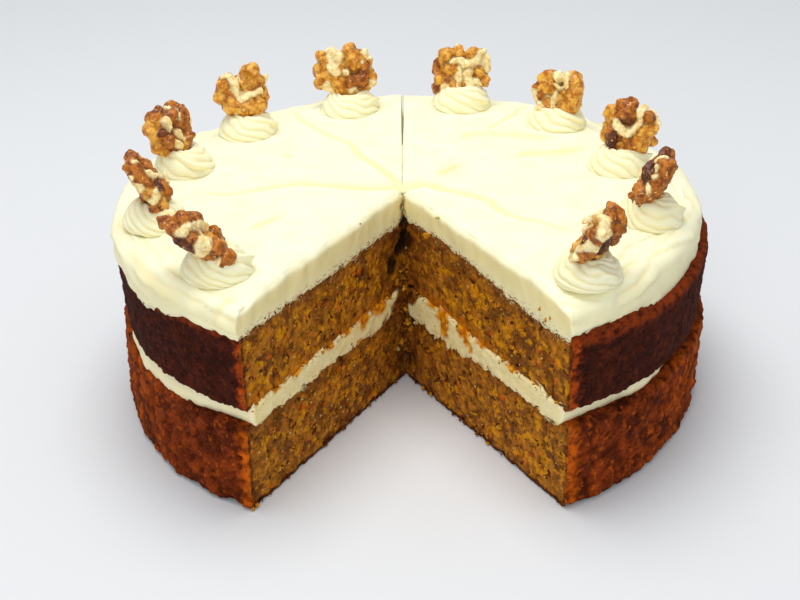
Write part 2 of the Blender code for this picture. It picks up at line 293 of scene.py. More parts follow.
class Recipe:
    """Builds one material's nodes. Methods return output sockets, and take numbers, colours or sockets."""

    def __init__(self, name):
        self.material = bpy.data.materials.new(name)
        self.material.use_nodes = True
        self.nodes = self.material.node_tree.nodes
        self.links = self.material.node_tree.links
        self.shader = self.nodes["Principled BSDF"]
        self.here = self.node("ShaderNodeTexCoord").outputs["Object"]

    def node(self, kind, **settings):
        made = self.nodes.new(kind)
        for key, value in settings.items():
            setattr(made, key, value)
        return made

    def feed(self, socket, value):
        if isinstance(value, bpy.types.NodeSocket):
            self.links.new(value, socket)
        else:
            socket.default_value = value

    def value(self, name):
        return self.node("ShaderNodeAttribute", attribute_name=name).outputs["Fac"]

    def stretch(self, scale, turn=(0.0, 0.0, 0.0), shift=(0.0, 0.0, 0.0)):
        made = self.node("ShaderNodeMapping")
        self.feed(made.inputs["Vector"], self.here)
        made.inputs["Scale"].default_value = scale
        made.inputs["Rotation"].default_value = turn
        made.inputs["Location"].default_value = shift
        return made.outputs["Vector"]

    def noise(self, size, detail=2.0, place=None, rough=0.5, warp=0.0):
        made = self.node("ShaderNodeTexNoise")
        self.feed(made.inputs["Vector"], place or self.here)
        made.inputs["Scale"].default_value = 1 / size
        made.inputs["Detail"].default_value = detail
        made.inputs["Roughness"].default_value = rough
        made.inputs["Distortion"].default_value = warp
        return made.outputs["Fac"]

    def cells(self, size, place=None, feature="F1"):
        """Distance to the nearest cell's middle, and that cell's random number."""
        made = self.node("ShaderNodeTexVoronoi", feature=feature)
        self.feed(made.inputs["Vector"], place or self.here)
        made.inputs["Scale"].default_value = 1 / size
        pick = self.node("ShaderNodeSeparateColor")
        self.feed(pick.inputs["Color"], made.outputs["Color"])
        return made.outputs["Distance"], pick.outputs["Red"]

    def maths(self, operation, first, second=0.0):
        made = self.node("ShaderNodeMath", operation=operation)
        self.feed(made.inputs[0], first)
        self.feed(made.inputs[1], second)
        return made.outputs["Value"]

    def step(self, value, low, high):
        """A soft step from 0 to 1 as the value goes from low to high."""
        made = self.node("ShaderNodeMapRange", interpolation_type="SMOOTHSTEP")
        self.feed(made.inputs["Value"], value)
        made.inputs["From Min"].default_value = low
        made.inputs["From Max"].default_value = high
        return made.outputs["Result"]

    def mix(self, share, first, second, blend="MIX"):
        """The first colour where the share is 0, the second where it is 1."""
        made = self.node("ShaderNodeMix", data_type="RGBA", blend_type=blend)
        for index, value in ((0, share), (6, first), (7, second)):
            self.feed(made.inputs[index], value)
        return made.outputs[2]

    def shade(self, colour, share, low, high=1.0):
        """The colour darkened by low where the share is 0 and by high where it is 1."""
        greys = self.mix(share, (low, low, low, 1.0), (high, high, high, 1.0))
        return self.mix(1.0, colour, greys, "MULTIPLY")

    def wobble(self, size, amount, place=None):
        """Places pushed about by noise, so that what is drawn there loses its straight edges."""
        made = self.node("ShaderNodeTexNoise")
        self.feed(made.inputs["Vector"], place or self.here)
        made.inputs["Scale"].default_value = 1 / size
        push = self.node("ShaderNodeVectorMath", operation="MULTIPLY_ADD")
        self.feed(push.inputs[0], made.outputs["Color"])
        push.inputs[1].default_value = (amount, amount, amount)
        self.feed(push.inputs[2], place or self.here)
        return push.outputs["Vector"]

    def finish(self, colour, roughness, bumps, specular=0.5):
        """Bumps are pairs of height socket and depth in metres."""
        self.feed(self.shader.inputs["Base Color"], colour)
        self.feed(self.shader.inputs["Roughness"], roughness)
        self.shader.inputs["Specular IOR Level"].default_value = specular
        normal = None
        for height, depth in bumps:
            made = self.node("ShaderNodeBump")
            made.inputs["Distance"].default_value = depth
            self.feed(made.inputs["Height"], height)
            if normal is not None:
                self.feed(made.inputs["Normal"], normal)
            normal = made.outputs["Normal"]
        self.feed(self.shader.inputs["Normal"], normal)
        return self.material


# ---- the sponges ----------------------------------------------------------------------------------------
def crumb_colour(recipe):
    """Moist golden crumb with smooth olive and golden patches and flecks, and dark specks painted as the shade in
    small pits.
    """
    drawn = recipe.stretch((1.0, 1.0, 1.25))
    wide = recipe.step(recipe.noise(11 * MM, 3.0, drawn, 0.6), 0.42, 0.58)
    colour = recipe.mix(wide, tone(126, 74, 24), tone(172, 108, 30))
    _, number = recipe.cells(4.2 * MM, recipe.wobble(2.4 * MM, 3.6 * MM, drawn))
    colour = recipe.mix(recipe.maths("MULTIPLY", recipe.step(number, 0.35, 0.85), 0.6), colour, tone(192, 124, 36))
    olive = recipe.noise(7.0 * MM, 2.0, recipe.stretch((1.0, 1.0, 1.3), shift=(2.0, 1.0, 0.0)), warp=0.5)
    colour = recipe.mix(recipe.maths("MULTIPLY", recipe.step(olive, 0.54, 0.62), 0.8), colour, tone(112, 70, 28))
    golden = recipe.noise(5.6 * MM, 2.0, recipe.stretch((1.0, 1.0, 1.2), shift=(0.0, 3.0, 0.0)), warp=0.6)
    colour = recipe.mix(recipe.maths("MULTIPLY", recipe.step(golden, 0.55, 0.61), 0.8), colour, tone(210, 140, 16))
    shreds = recipe.noise(3.4 * MM, 2.0, recipe.stretch((1.0, 1.0, 1.4), shift=(0.0, 0.0, 4.0)), warp=0.5)
    colour = recipe.mix(recipe.maths("MULTIPLY", recipe.step(shreds, 0.64, 0.67), 0.75), colour, tone(204, 92, 12))
    fine = recipe.noise(2.4 * MM, 2.0, drawn, 0.55)
    colour = recipe.shade(colour, recipe.step(fine, 0.34, 0.58), 0.74, 1.12)
    pale = recipe.noise(2.1 * MM, 1.0, recipe.stretch((1.0, 1.0, 1.2), shift=(3.0, 1.0, 2.0)))
    colour = recipe.mix(recipe.step(pale, 0.70, 0.75), colour, tone(214, 172, 98))
    # Painted shade: dark red-brown specks for the shade in small pits.
    dark = recipe.step(recipe.noise(2.6 * MM, 2.0, recipe.stretch((1.0, 1.0, 1.1), shift=(1.0, 5.0, 0.0)), 0.6, 0.6), 0.61, 0.65)
    return recipe.mix(recipe.maths("MULTIPLY", dark, 0.9), colour, tone(70, 24, 8))


def crust_colour(recipe, dark, mid, orange_and_side_light, flecks):
    """Browned outside: every knob of it has its own shade, and it is orange in flecks where it is thin."""
    patches = recipe.step(recipe.noise(9 * MM, 3.0), 0.35, 0.7)
    share = recipe.maths("ADD", recipe.maths("MULTIPLY", patches, 0.45), recipe.maths("MULTIPLY", recipe.value("knob"), 0.7))
    colour = recipe.mix(share, dark, mid)
    thin = recipe.step(recipe.noise(2.6 * MM, 3.0, rough=0.6), 0.56, 0.66)
    colour = recipe.mix(recipe.maths("MULTIPLY", thin, flecks), colour, orange_and_side_light)
    return recipe.shade(colour, recipe.step(recipe.noise(1.4 * MM, 2.0, rough=0.6), 0.34, 0.60), 0.70, 1.12)


def sponge_paint(name, dark, mid, orange_and_side_light, flecks):
    recipe = Recipe(name)
    skin, pit_shade, baked, moist = (recipe.value(key) for key in ("skin", "pit_shade", "baked", "moist"))
    crumb = crumb_colour(recipe)
    crumb = recipe.mix(recipe.maths("MULTIPLY", moist, 0.6), crumb, tone(124, 70, 26))
    dragged = recipe.noise(1.0 * MM, 2.0, recipe.stretch((1.0, 1.0, 0.6)), 0.6)
    dragged = recipe.maths("MULTIPLY", recipe.step(dragged, 0.54, 0.62), recipe.value("smear"))
    crumb = recipe.mix(dragged, crumb, tone(216, 188, 136))
    crumb = recipe.mix(recipe.maths("MULTIPLY", recipe.value("golden"), 0.6), crumb, tone(200, 116, 14))
    # Painted shade: the crumb darker and redder towards the wedge's inner corner.
    crumb = recipe.mix(recipe.maths("MULTIPLY", recipe.value("inner"), 0.5), crumb, tone(96, 44, 12))
    crumb = recipe.mix(baked, crumb, tone(80, 34, 10))
    crust = crust_colour(recipe, dark, mid, orange_and_side_light, flecks)
    broken = recipe.step(recipe.noise(2.6 * MM, 3.0, rough=0.6), 0.28, 0.55)
    # Orange at the crust's cut edges and on the upper crust's top band, and painted light on the lower crust's sides.
    crust = recipe.mix(recipe.maths("MULTIPLY", recipe.value("orange_and_side_light"), broken), crust, orange_and_side_light)
    colour = recipe.mix(skin, crumb, crust)
    # Painted shade in pores, creases and torn dips, and darker at the crust's foot.
    colour = recipe.mix(pit_shade, colour, recipe.mix(0.62, colour, tone(36, 12, 4)))
    # Painted shade deep in the crack at the corner and in the torn gaps under the frosting.
    colour = recipe.mix(recipe.maths("MULTIPLY", recipe.value("hole_shade"), 0.75), colour, tone(50, 38, 28))
    fine = recipe.noise(0.9 * MM, 2.0)
    coarse = recipe.noise(2.0 * MM, 3.0, recipe.stretch((1.0, 1.0, 1.4)))
    rough = recipe.maths("MULTIPLY_ADD", skin, 0.2)
    rough.node.inputs[2].default_value = 0.62
    return recipe.finish(colour, rough, ((coarse, 0.40 * MM), (fine, 0.14 * MM)), 0.06)


FOOT_RADIUS = 1.6 * MM
# Where the lower sponge's side is painted lighter and more orange, as painted light, in degrees.
LIT_SIDES = (-20, 198)


def rounded_inset(away, radius):
    """How far a softened edge steps in at this distance from it."""
    near = np.clip(1 - away / radius, 0, 1)
    return radius * (1 - math.sqrt(1 - near**2))


def sponge_levels(low, high, rims, angles, shoulder, step):
    """Rows from the foot up. The foot's edge is a little soft and the top's edge has the shoulder's radius."""
    base, top = (rim_reach(angles, rim) for rim in rims)
    levels = []
    for height in np.linspace(low, high, int((high - low) / step) + 1):
        share = (height - low) / (high - low)
        inset = max(rounded_inset(height - low, FOOT_RADIUS), rounded_inset(high - height, shoulder))
        levels.append((height, base * (1 - share) + top * share - inset))
    return levels


def past_corner(grid, reach):
    """Signed distance along the side from the nearest corner: above 0 on the wall, below 0 on a cut."""
    on_wall = CAKE_RADIUS * np.minimum(grid.angle - RIGHT_CUT, LEFT_CUT - grid.angle)
    return np.where(grid.zone == 1, -(1 - grid.share) * reach, on_wall)


def crumb_relief(places, seed):
    """Torn crumb, in metres out of the cut plane, and the painted shade each place takes, from 0 to 1: deep in pores,
    in the creases between grains and in torn dips.
    """
    places = places * np.array((1.0, 1.0, 1.15))
    pushed = places + 0.9 * MM * lumps(places, 1.7 * MM, seed)[:, None]
    near, number = grains(pushed, 3.2 * MM, seed)
    small, _ = grains(places + 0.3 * MM * lumps(places, 0.9 * MM, seed + 1)[:, None], 1.7 * MM, seed + 2)
    pore, chance = grains(places + 1.2 * MM * lumps(places, 1.8 * MM, seed + 3)[:, None], 4.0 * MM, seed + 9)
    torn = ease_between(lumps(places, 5 * MM, seed + 7) + 0.3 * lumps(places, 1.5 * MM, seed + 8), 0.2, 0.55)
    depth = ease_between(pore, 0.38, 0.10) * (chance < 0.45)
    relief = 0.80 * MM * (0.40 - near**2) * (0.4 + 1.2 * number) + 0.25 * MM * (0.35 - small**2)
    relief += 0.35 * MM * lumps(places, 10 * MM, seed + 5) - 0.6 * MM * torn - 1.6 * MM * depth
    # Painted shade deep in pores, in the creases between grains and, below, in torn dips.
    pit_shade = depth + 0.7 * ease_between(near, 0.58, 0.95) * ease_between(small, 0.2, 0.8)
    return relief, np.clip(pit_shade + 0.2 * torn, 0, 1)


def crust_relief(places, seed, knob, depth):
    """Knobbly crust: metres out of the side, painted shade for its pores and the creases between knobs, and each
    knob's own number, both from 0 to 1.
    """
    pushed = places + 0.45 * knob * np.stack([lumps(places, 0.8 * knob, seed + axis) for axis in range(3)], axis=1)
    near, number = grains(pushed, knob, seed + 3)
    small, _ = grains(pushed, 0.45 * knob, seed + 4)
    relief = depth * (0.9 * (0.35 - near**2) * (0.3 + 1.4 * number) + 0.35 * (0.35 - small**2))
    relief += 0.6 * depth * rough_lumps(places, 9 * MM, seed + 6)
    pore, chance = grains(places, 0.8 * knob, seed + 8)
    pore = ease_between(pore, 0.42, 0.15) * (chance < 0.35)
    return relief - 0.7 * depth * pore, np.maximum(pore, ease_between(near, 0.50, 0.85)), number


# How much higher the frosting's seam runs along each cut: millimetres from the corner and up.
SEAM_RIGHT = ((0, 1.5), (7, 2.9), (30, 4.0), (48, 3.4), (64, 1.0), (80, -0.7), (95, -1.9), (113, -1.6))
SEAM_LEFT = ((0, 1.5), (6, 0.6), (40, 0.5), (55, 0.1), (75, 0.9), (94, 1.7), (112, 2.1))


def dome(flat):
    """How much higher than level the sponge's top and the frosting's foot lie."""
    away = np.hypot(*(flat - TIP).T) / MM
    turn = np.arctan2(flat[:, 1] - TIP[1], flat[:, 0] - TIP[0])
    turn = np.where(turn < RIGHT_CUT - 0.1, turn + 2 * math.pi, turn)
    right, left = (np.interp(away, *np.array(seam, float).T) for seam in (SEAM_RIGHT, SEAM_LEFT))
    fade_right = np.exp(-(((turn - RIGHT_CUT) / 0.9) ** 2))
    fade_left = np.exp(-(((turn - LEFT_CUT) / 0.9) ** 2))
    return MM * (right * fade_right + left * fade_left)


# Where the frosting's hem hangs higher or lower on the side: degrees, half width in degrees and millimetres up.
HEM_LIFTS = ((-55, 10, 4.6), (-43, 5, 1.8), (-27, 7, -3.0), (214, 8, -3.5), (232, 8, 3.0))


def hem_lift(angle):
    lift = np.zeros(len(angle))
    for degrees, wide, rise in HEM_LIFTS:
        lift += rise * MM * np.exp(-(((angle - math.radians(degrees)) / math.radians(wide)) ** 2))
    return lift


def ragged_edges(grid, low, high, size, seed):
    """Moves the edges along the cuts and the rim up and down a little, so that no seam is straight."""
    places = grid.places
    flat = places * np.array((1.0, 1.0, 0.0))
    for edge, number in ((low, seed), (high, seed + 1)):
        near = ease_between(np.abs(places[:, 2] - edge), 3 * MM, 0.0) * (grid.zone < 2)
        if edge > LOWER_BOX[0].z + 0.1 * MM:
            torn = rough_lumps(flat, 5 * MM, number) + 0.9 * lumps(flat, 1.3 * MM, number + 2)
            places[:, 2] += near * size * torn


# The crack where the cuts meet, as bites: millimetres across from the corner, height, half width, half
# height and depth.
TIP_BITES = (
    (0.2, 80.0, 0.6, 3.0, 2.5),
    (0.0, 75.5, 1.0, 3.5, 5.0),
    (0.4, 70.0, 1.2, 3.5, 7.0),
    (0.8, 62.5, 2.5, 3.4, 10.0),
    (-1.2, 59.0, 2.0, 2.6, 10.0),
    (-4.9, 53.0, 1.6, 4.2, 8.0),
    (-2.6, 45.0, 1.2, 2.0, 4.0),
    (3.2, 38.0, 1.7, 5.4, 7.0),
    (3.2, 28.0, 1.4, 5.0, 6.0),
    (1.0, 8.0, 3.6, 3.0, 3.4),
)


def open_tip(grid, seed):
    """Tears the crack open towards +Y, and returns how deep in it each place is, from 0 to 1."""
    places = grid.places
    across = places[:, 0] - TIP[0]
    near = (grid.zone < 2) & (grid.share < 0.2)
    shift = np.zeros(len(places))
    wander = 0.9 * MM * lumps(places, 3 * MM, seed) + 0.5 * MM * lumps(places, 1.1 * MM, seed + 4)
    for side, height, wide, tall, depth in TIP_BITES:
        off = ((across + wander - side * MM) / (wide * MM)) ** 2
        off += ((places[:, 2] + wander - height * MM) / (tall * MM)) ** 2
        shift = np.maximum(shift, depth * MM * np.exp(-(off**1.8)))
    shift *= near * (1 + 0.25 * lumps(places, 2 * MM, seed + 1))
    places[:, 1] += shift
    return ease_between(shift, 1.5 * MM, 4.0 * MM)


def sponge(name, box, rims, seed, paint, crust, top_gap, bottom_gap, domed=False):
    low, high = box[0].z - bottom_gap, box[1].z + top_gap
    angles = even_angles(CAKE_RADIUS, 0.95 * MM)
    shares = tapered_shares(CAKE_RADIUS, 0.45 * MM, 0.25 * MM, 5 * MM)
    levels = sponge_levels(low, high, rims, angles, 2.8 * MM if domed else 1.8 * MM, 0.52 * MM)
    grid = layer_grid(angles, shares, levels, 16)
    if domed:
        rise = (grid.places[:, 2] - low) / (high - low)
        shoulder = np.maximum(hem_lift(grid.angle), 0) * np.where(grid.zone == 2, ease_between(grid.share, 0.90, 0.98), 1)
        risen = dome(grid.places[:, :2]) + 0.8 * shoulder * ((grid.zone == 0) | (grid.zone == 2))
        grid.places[:, 2] += risen * np.clip(rise, 0, 1) ** 3
    ragged_edges(grid, low, high, 0.75 * MM, seed)
    # How deep in the crack each place lies; the sponge paints it as shade.
    crack = open_tip(grid, seed + 2)
    normals = face_normals(grid.places, grid.quads, grid.tris)
    past = past_corner(grid, CAKE_RADIUS)
    wander = 1.3 * MM * lumps(grid.places, 3 * MM, seed + 12) + 0.6 * MM * lumps(grid.places, MM, seed + 13)
    skin = ease_between(past + wander, -1.4 * MM, 0.6 * MM)
    crumb, crumb_pit_shade = crumb_relief(grid.places, seed)
    outside, crust_pit_shade, knob = crust_relief(grid.places, seed + 20, *crust)
    relief = (crumb - 0.2 * MM) * (1 - skin) + outside * skin
    height = grid.places[:, 2] - domed * dome(grid.places[:, :2])
    # Torn gaps under the frosting: pushed in, and darkened as painted shade.
    gaps = ease_between(lumps(grid.places, 6 * MM, seed + 40) + 0.3 * lumps(grid.places, 2 * MM, seed + 41), 0.25, 0.5)
    gaps *= ease_between(high - height + 0.4 * wander, 1.9 * MM, 0.5 * MM) * (1 - skin)
    relief = (relief - 1.5 * MM * gaps) * (grid.zone < 3)
    places = grid.places + normals * relief[:, None]
    places[:, 2] = np.maximum(places[:, 2], LOWER_BOX[0].z)
    from_side = np.where(grid.zone == 1, -past, CAKE_RADIUS)
    baked = ease_between(from_side + wander, 3.0 * MM, 0.6 * MM) * (1 - skin)
    at_base = ease_between(height - low + 0.7 * wander, 2.2 * MM, 0.6 * MM) * (not domed)
    baked = np.maximum(baked, at_base * (1 - skin))
    corner = 4.5 * MM if domed else 6.5 * MM
    orange_and_side_light = ease_between(past + 2 * wander, corner, 0.5 * MM) * (0.6 + 0.4 * knob) * skin
    orange_and_side_light = np.maximum(orange_and_side_light, 0.35 * ease_between(high - height + wander, 3.5 * MM, 0.8 * MM) * skin * domed)
    # Painted light: the lower crust lighter and more orange round these sides.
    for degrees in LIT_SIDES:
        away = np.abs(grid.angle - math.radians(degrees)) + 0.1 * wander / MM
        orange_and_side_light = np.maximum(orange_and_side_light, 0.4 * knob * ease_between(away, 0.45, 0.10) * skin * (not domed))
    values = {
        "skin": skin,
        # Painted shade from pores, creases and torn dips, and darker at the crust's foot.
        "pit_shade": np.clip(crumb_pit_shade * (1 - skin) + np.maximum(0.85 * crust_pit_shade, 0.8 * at_base) * skin, 0, 1),
        "hole_shade": np.maximum(crack, 0.8 * gaps),
        "baked": baked,
        "moist": ease_between(high - height + 2 * wander, 8 * MM, 1 * MM) * (1 - skin),
        "orange_and_side_light": orange_and_side_light,
        "knob": knob,
        "golden": ease_between(height - low + 2.2 * wander, 3.5 * MM, 0.3 * MM) * (1 - skin) * domed,
        "smear": ease_between(high - height + 1.5 * wander, 3.5 * MM, 0.3 * MM) * (1 - skin) * domed,
        # Painted shade towards the wedge's inner corner.
        "inner": ease_between(grid.share * CAKE_RADIUS, 32 * MM, 5 * MM) * (1 - skin),
    }
    piece = mesh_piece(name + "_crumb", places, grid.quads, grid.tris, paint, values)
    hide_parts(name)
    return piece


def lower_sponge():
    paint = sponge_paint("lower_sponge", tone(68, 23, 9), tone(140, 58, 18), tone(212, 98, 12), 0.40)
    rims = (LOWER_BASE_RIM, LOWER_TOP_RIM)
    piece = sponge("sponge_lower", LOWER_BOX, rims, 11, paint, (4.8 * MM, 1.8 * MM), 0.2 * MM, 0.0)


def upper_sponge():
    paint = sponge_paint("upper_sponge", tone(46, 19, 13), tone(78, 31, 17), tone(190, 76, 18), 0.10)
    rims = (UPPER_BASE_RIM, UPPER_TOP_RIM)
    piece = sponge("sponge_upper", UPPER_BOX, rims, 47, paint, (2.8 * MM, 0.80 * MM), 0.3 * MM, 0.3 * MM, True)


# ---- filling ----------------------------------------------------------------------------------------------
def cream_paint(name, pale, deep, soft):
    """Soft cream that lets a little light through. It is a touch yellower on cut faces, partly as painted shade, and
    yellower still as painted shade in its marks and dips.
    """
    recipe = Recipe(name)
    cut, crumbs, valley_shade = (recipe.value(key) for key in ("cut", "crumbs", "valley_shade"))
    colour = recipe.mix(recipe.step(recipe.noise(12 * MM), 0.3, 0.7), pale, recipe.mix(0.25, pale, deep))
    # Deeper yellow on cut faces; on the frosting it is strongest just under the lip as painted shadow, and on the
    # frosting's roll and between the swirls' strands it is painted shade.
    colour = recipe.mix(cut, colour, deep)
    # Painted shade in marks, dips and slits.
    colour = recipe.mix(valley_shade, colour, tone(240, 225, 162))
    smears = recipe.noise(1.3 * MM, 3.0, recipe.stretch((0.6, 0.6, 1.3)), 0.6)
    share = recipe.maths("MULTIPLY", recipe.step(smears, 0.50, 0.64), crumbs)
    colour = recipe.mix(share, colour, tone(158, 114, 64))
    syrup = recipe.mix(recipe.step(recipe.noise(2.0 * MM, 3.0), 0.35, 0.62), tone(182, 92, 2), tone(232, 156, 10))
    colour = recipe.mix(recipe.value("stain"), colour, syrup)
    brown = recipe.mix(recipe.step(recipe.noise(2.0 * MM, 3.0), 0.38, 0.62), tone(70, 34, 10), tone(150, 88, 24))
    colour = recipe.mix(recipe.value("browned"), colour, brown)
    shader = recipe.shader
    shader.inputs["Subsurface Weight"].default_value = soft
    shader.inputs["Subsurface Radius"].default_value = (1.0, 0.75, 0.45)
    shader.inputs["Subsurface Scale"].default_value = 3 * MM
    rough = recipe.step(recipe.noise(4 * MM, 2.0), -0.6, 1.6)
    bumps = ((recipe.noise(5 * MM, 2.0), 0.25 * MM), (recipe.noise(0.7 * MM, 2.0), 0.04 * MM))
    return recipe.finish(colour, rough, bumps, 0.1 + 0.8 * soft)


# Crumb dragged down over the filling: 1 for the right cut or -1 for the left, then millimetres from the corner
# and up, and its half sizes along and up.
DRIPS = (
    (1, 33.0, 41.0, 3.0, 3.0), (1, 34.2, 36.4, 2.0, 3.2), (1, 48.5, 42.0, 3.2, 3.0), (1, 51.5, 39.0, 1.8, 2.2),
    (1, 54.5, 36.4, 1.2, 1.6), (1, 24.0, 43.6, 3.0, 1.8), (1, 62.0, 42.2, 2.4, 1.4), (1, 84.0, 41.8, 2.0, 1.2),
    (-1, 22.0, 41.6, 4.0, 2.6), (-1, 34.5, 41.6, 2.6, 2.6), (-1, 36.0, 38.8, 1.2, 1.6), (-1, 48.0, 42.6, 3.0, 1.6),
    (-1, 62.0, 42.2, 2.4, 1.6), (-1, 86.0, 41.6, 2.0, 1.0), (-1, 40.0, 33.4, 1.4, 1.0), (-1, 101.0, 41.4, 1.6, 1.2),
)


def filling():
    paint = cream_paint("filling_cream", tone(250, 240, 198), tone(244, 227, 162), 0.06)
    low, high = FILLING_BOX[0].z - 1.2 * MM, FILLING_BOX[1].z + 1.2 * MM
    angles = even_angles(CAKE_RADIUS, 1.0 * MM)
    shares = tapered_shares(CAKE_RADIUS, 0.9 * MM, 0.4 * MM, 4 * MM)
    reach = rim_reach(angles, FILLING_RIM)
    radius, middle, _ = FILLING_RIM
    around = np.column_stack([np.cos(angles), np.sin(angles), np.zeros(len(angles))]) * radius
    uneven = 1.6 * MM * rough_lumps(around, 22 * MM, 5) + 0.5 * MM * lumps(around, 6 * MM, 6)
    front_left = 0.8 * ease_between(np.abs(angles - math.radians(215)), 0.42, 0.05)
    front_right = 0.6 * ease_between(np.abs(angles - math.radians(-38)), 0.30, 0.05)
    thin = ease_between(angles, math.radians(-20), math.radians(0))
    reach = reach + uneven * (1 - front_left) + 3.2 * MM * (front_left + front_right) - 2.5 * MM * thin
    levels = []
    for height in np.linspace(low, high, 15):
        level_share = (height - low) / (high - low)
        bulge = math.sin(math.pi * level_share) ** 0.6
        lift = 0.2 * MM * rough_lumps(around, 9 * MM, 8)
        levels.append((height, reach - 2.2 * MM * (1 - bulge) + lift * bulge))
    grid = layer_grid(angles, shares, levels, 4)
    drooping = ease_between(np.abs(grid.angle - math.radians(212)), 0.34, 0.10) * (grid.zone == 0)
    drooping *= ease_between(grid.places[:, 2], high, low)
    grid.places[:, 2] -= 2.4 * MM * drooping
    grid.places[:, :2] *= (1 + 0.008 * drooping)[:, None]
    on_cut = (grid.zone == 1) * 1.0
    from_tip = grid.share * CAKE_RADIUS
    level_share = (grid.places[:, 2] - low) / (high - low)
    right = grid.angle < math.pi / 2
    down = np.where(right, 1.6 + 3.6 * ease_between(from_tip, 70 * MM, 40 * MM), 1.2 + 1.6 * ease_between(from_tip, 60 * MM, 30 * MM))
    up = np.where(right, 0.4 + 1.4 * ease_between(from_tip, 70 * MM, 40 * MM), 0.2)
    stretch = np.where(level_share < 0.5, down * (2 * level_share - 1), up * (2 * level_share - 1))
    waves = 0.7 * rough_lumps(grid.places * np.array((1, 1, 0)), 8 * MM, 18)
    grid.places[:, 2] += MM * on_cut * (stretch + waves) * ease_between(from_tip, 2 * MM, 7 * MM)
    normals = face_normals(grid.places, grid.quads, grid.tris)
    drag = rough_lumps(grid.places * np.array((0.4, 0.4, 1.5)), 2.4 * MM, 14)
    relief = 0.55 * MM * drag * on_cut + 0.25 * MM * rough_lumps(grid.places, 5 * MM, 15) * (1 - on_cut)
    torn = rough_lumps(grid.places, 4.5 * MM, 19) + 0.6 * lumps(grid.places, 1.4 * MM, 20)
    edge = np.abs(level_share - 0.5) * 2 + 0.30 * torn
    proud = 0.95 * MM - 3.0 * MM * ease_between(edge, 0.72, 1.02)
    places = grid.places + normals * (relief * (grid.zone < 2) + proud * on_cut)[:, None]
    slant = 1.3 * (grid.places[:, 2] - 0.5 * (low + high)) * np.where(right, -1, 1)
    corner = ease_between(from_tip + 5.0 * MM * torn + slant, 11 * MM, 9.5 * MM) * (grid.zone < 2)
    stain = np.zeros(len(places))
    for side, reach, height, wide, tall in DRIPS:
        off = ((from_tip / MM - reach + 1.0 * torn) / (1.5 * wide)) ** 2
        off += ((places[:, 2] / MM - height + 1.0 * torn) / (1.15 * tall)) ** 2
        stain = np.maximum(stain, ease_between(off, 1.6, 0.5) * (right == (side > 0)) * on_cut)
    values = {
        # Painted shade in the dips of the dragged cut face.
        "valley_shade": 0.35 * on_cut * ease_between(drag, 0.0, -0.6),
        "cut": on_cut * (0.5 + 0.4 * ease_between(rough_lumps(grid.places, 9 * MM, 21), -0.4, 0.4)),
        "stain": stain,
        "crumbs": on_cut * (0.15 + 0.8 * ease_between(edge, 0.45, 0.85)),
        "browned": corner,
    }
    piece = mesh_piece("filling_cream", places, grid.quads, grid.tris, paint, values)
    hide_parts("filling")


# ---- frosting ---------------------------------------------------------------------------------------------
# Marks in the frosting's top, in millimetres on the plan. A knife's mark has a steep side towards the viewer
# and a gentle slope behind it: the slope's widths and the depths at its two ends. A spreader's mark is a low
# terrace.
KNIFE_LINES = (
    (((-84, -4), (-72, -6), (-63, -3), (-52, 1), (-44, 2), (-32, 0), (-20, -3), (-6, -4)), 2.8, 9.5, 0.6, 1.8),
    (((-54, 93), (-48, 75), (-43, 67), (-34, 54), (-26, 46), (-22, 33), (-14, 19), (-5, 0)), 2.4, 4.0, 0.7, 1.0),
    (((62, -49), (48, -38), (38, -32), (31, -23), (29, -17), (21, -11), (11, -5), (6, -1), (1, -2)), 3.2, 9.0, 0.7, 1.7),
    (((34, 56), (38, 64), (44, 73), (48, 78), (52, 88)), 2.4, 2.4, 0.6, 0.6),
)
SPREAD_LINES = (
    (((-62, -39), (-55, -32), (-49, -27)), 0.9, 0.9),
    (((-53, 36), (-48, 32)), 0.8, 0.7),
    (((22, 48), (25, 54), (34, 54), (44, 53), (55, 49), (63, 48)), 1.5, 1.2),
    (((40, 27), (49, 31), (59, 32), (67, 34), (76, 38)), 1.7, 1.3),
    (((10, 11), (15, 15), (21, 23)), 1.5, 1.0),
    (((-105, -48), (-100, -61), (-94, -71), (-89, -80), (-82, -86)), 1.4, 0.9),
    (((-110, -3), (-105, -28), (-98, -37), (-90, -39)), 1.6, 0.8),
    (((-71, -100), (-66, -96), (-62, -90)), 1.3, 0.7),
    (((68, -92), (72, -96), (79, -97), (89, -89), (98, -75), (104, -58)), 1.5, 1.2),
    (((102, -12), (101, -28), (96, -39), (91, -50)), 2.2, 0.8),
)
SLIT_ANGLE = math.radians(89.3)
SLIT_HALF = math.radians(0.30)


def smooth_path(points, steps=6):
    """Points on a smooth curve through the given ones."""
    ends = [2 * points[0] - points[1], *points, 2 * points[-1] - points[-2]]
    path = []
    for a, b, c, d in zip(ends, ends[1:], ends[2:], ends[3:]):
        for share in np.arange(steps) / steps:
            bend = 2 * b + (c - a) * share + (2 * a - 5 * b + 4 * c - d) * share**2
            path.append((bend + (3 * b - a - 3 * c + d) * share**3) / 2)
    return np.array([*path, points[-1]])


def line_distance(flat, path):
    """Signed distance of each place to a path, above 0 on its left, and how far along it, from 0 to 1."""
    best = np.full(len(flat), 9.0)
    signed, along = best.copy(), np.zeros(len(flat))
    for number, (a, b) in enumerate(zip(path, path[1:])):
        run = b - a
        share = np.clip((flat - a) @ run / (run @ run), 0, 1)
        off = flat - a - share[:, None] * run
        gap = np.hypot(off[:, 0], off[:, 1])
        closer = gap < best
        side = np.sign(run[0] * off[:, 1] - run[1] * off[:, 0])
        signed = np.where(closer, gap * side, signed)
        along = np.where(closer, (number + share) / (len(path) - 1), along)
        best = np.where(closer, gap, best)
    return signed, along


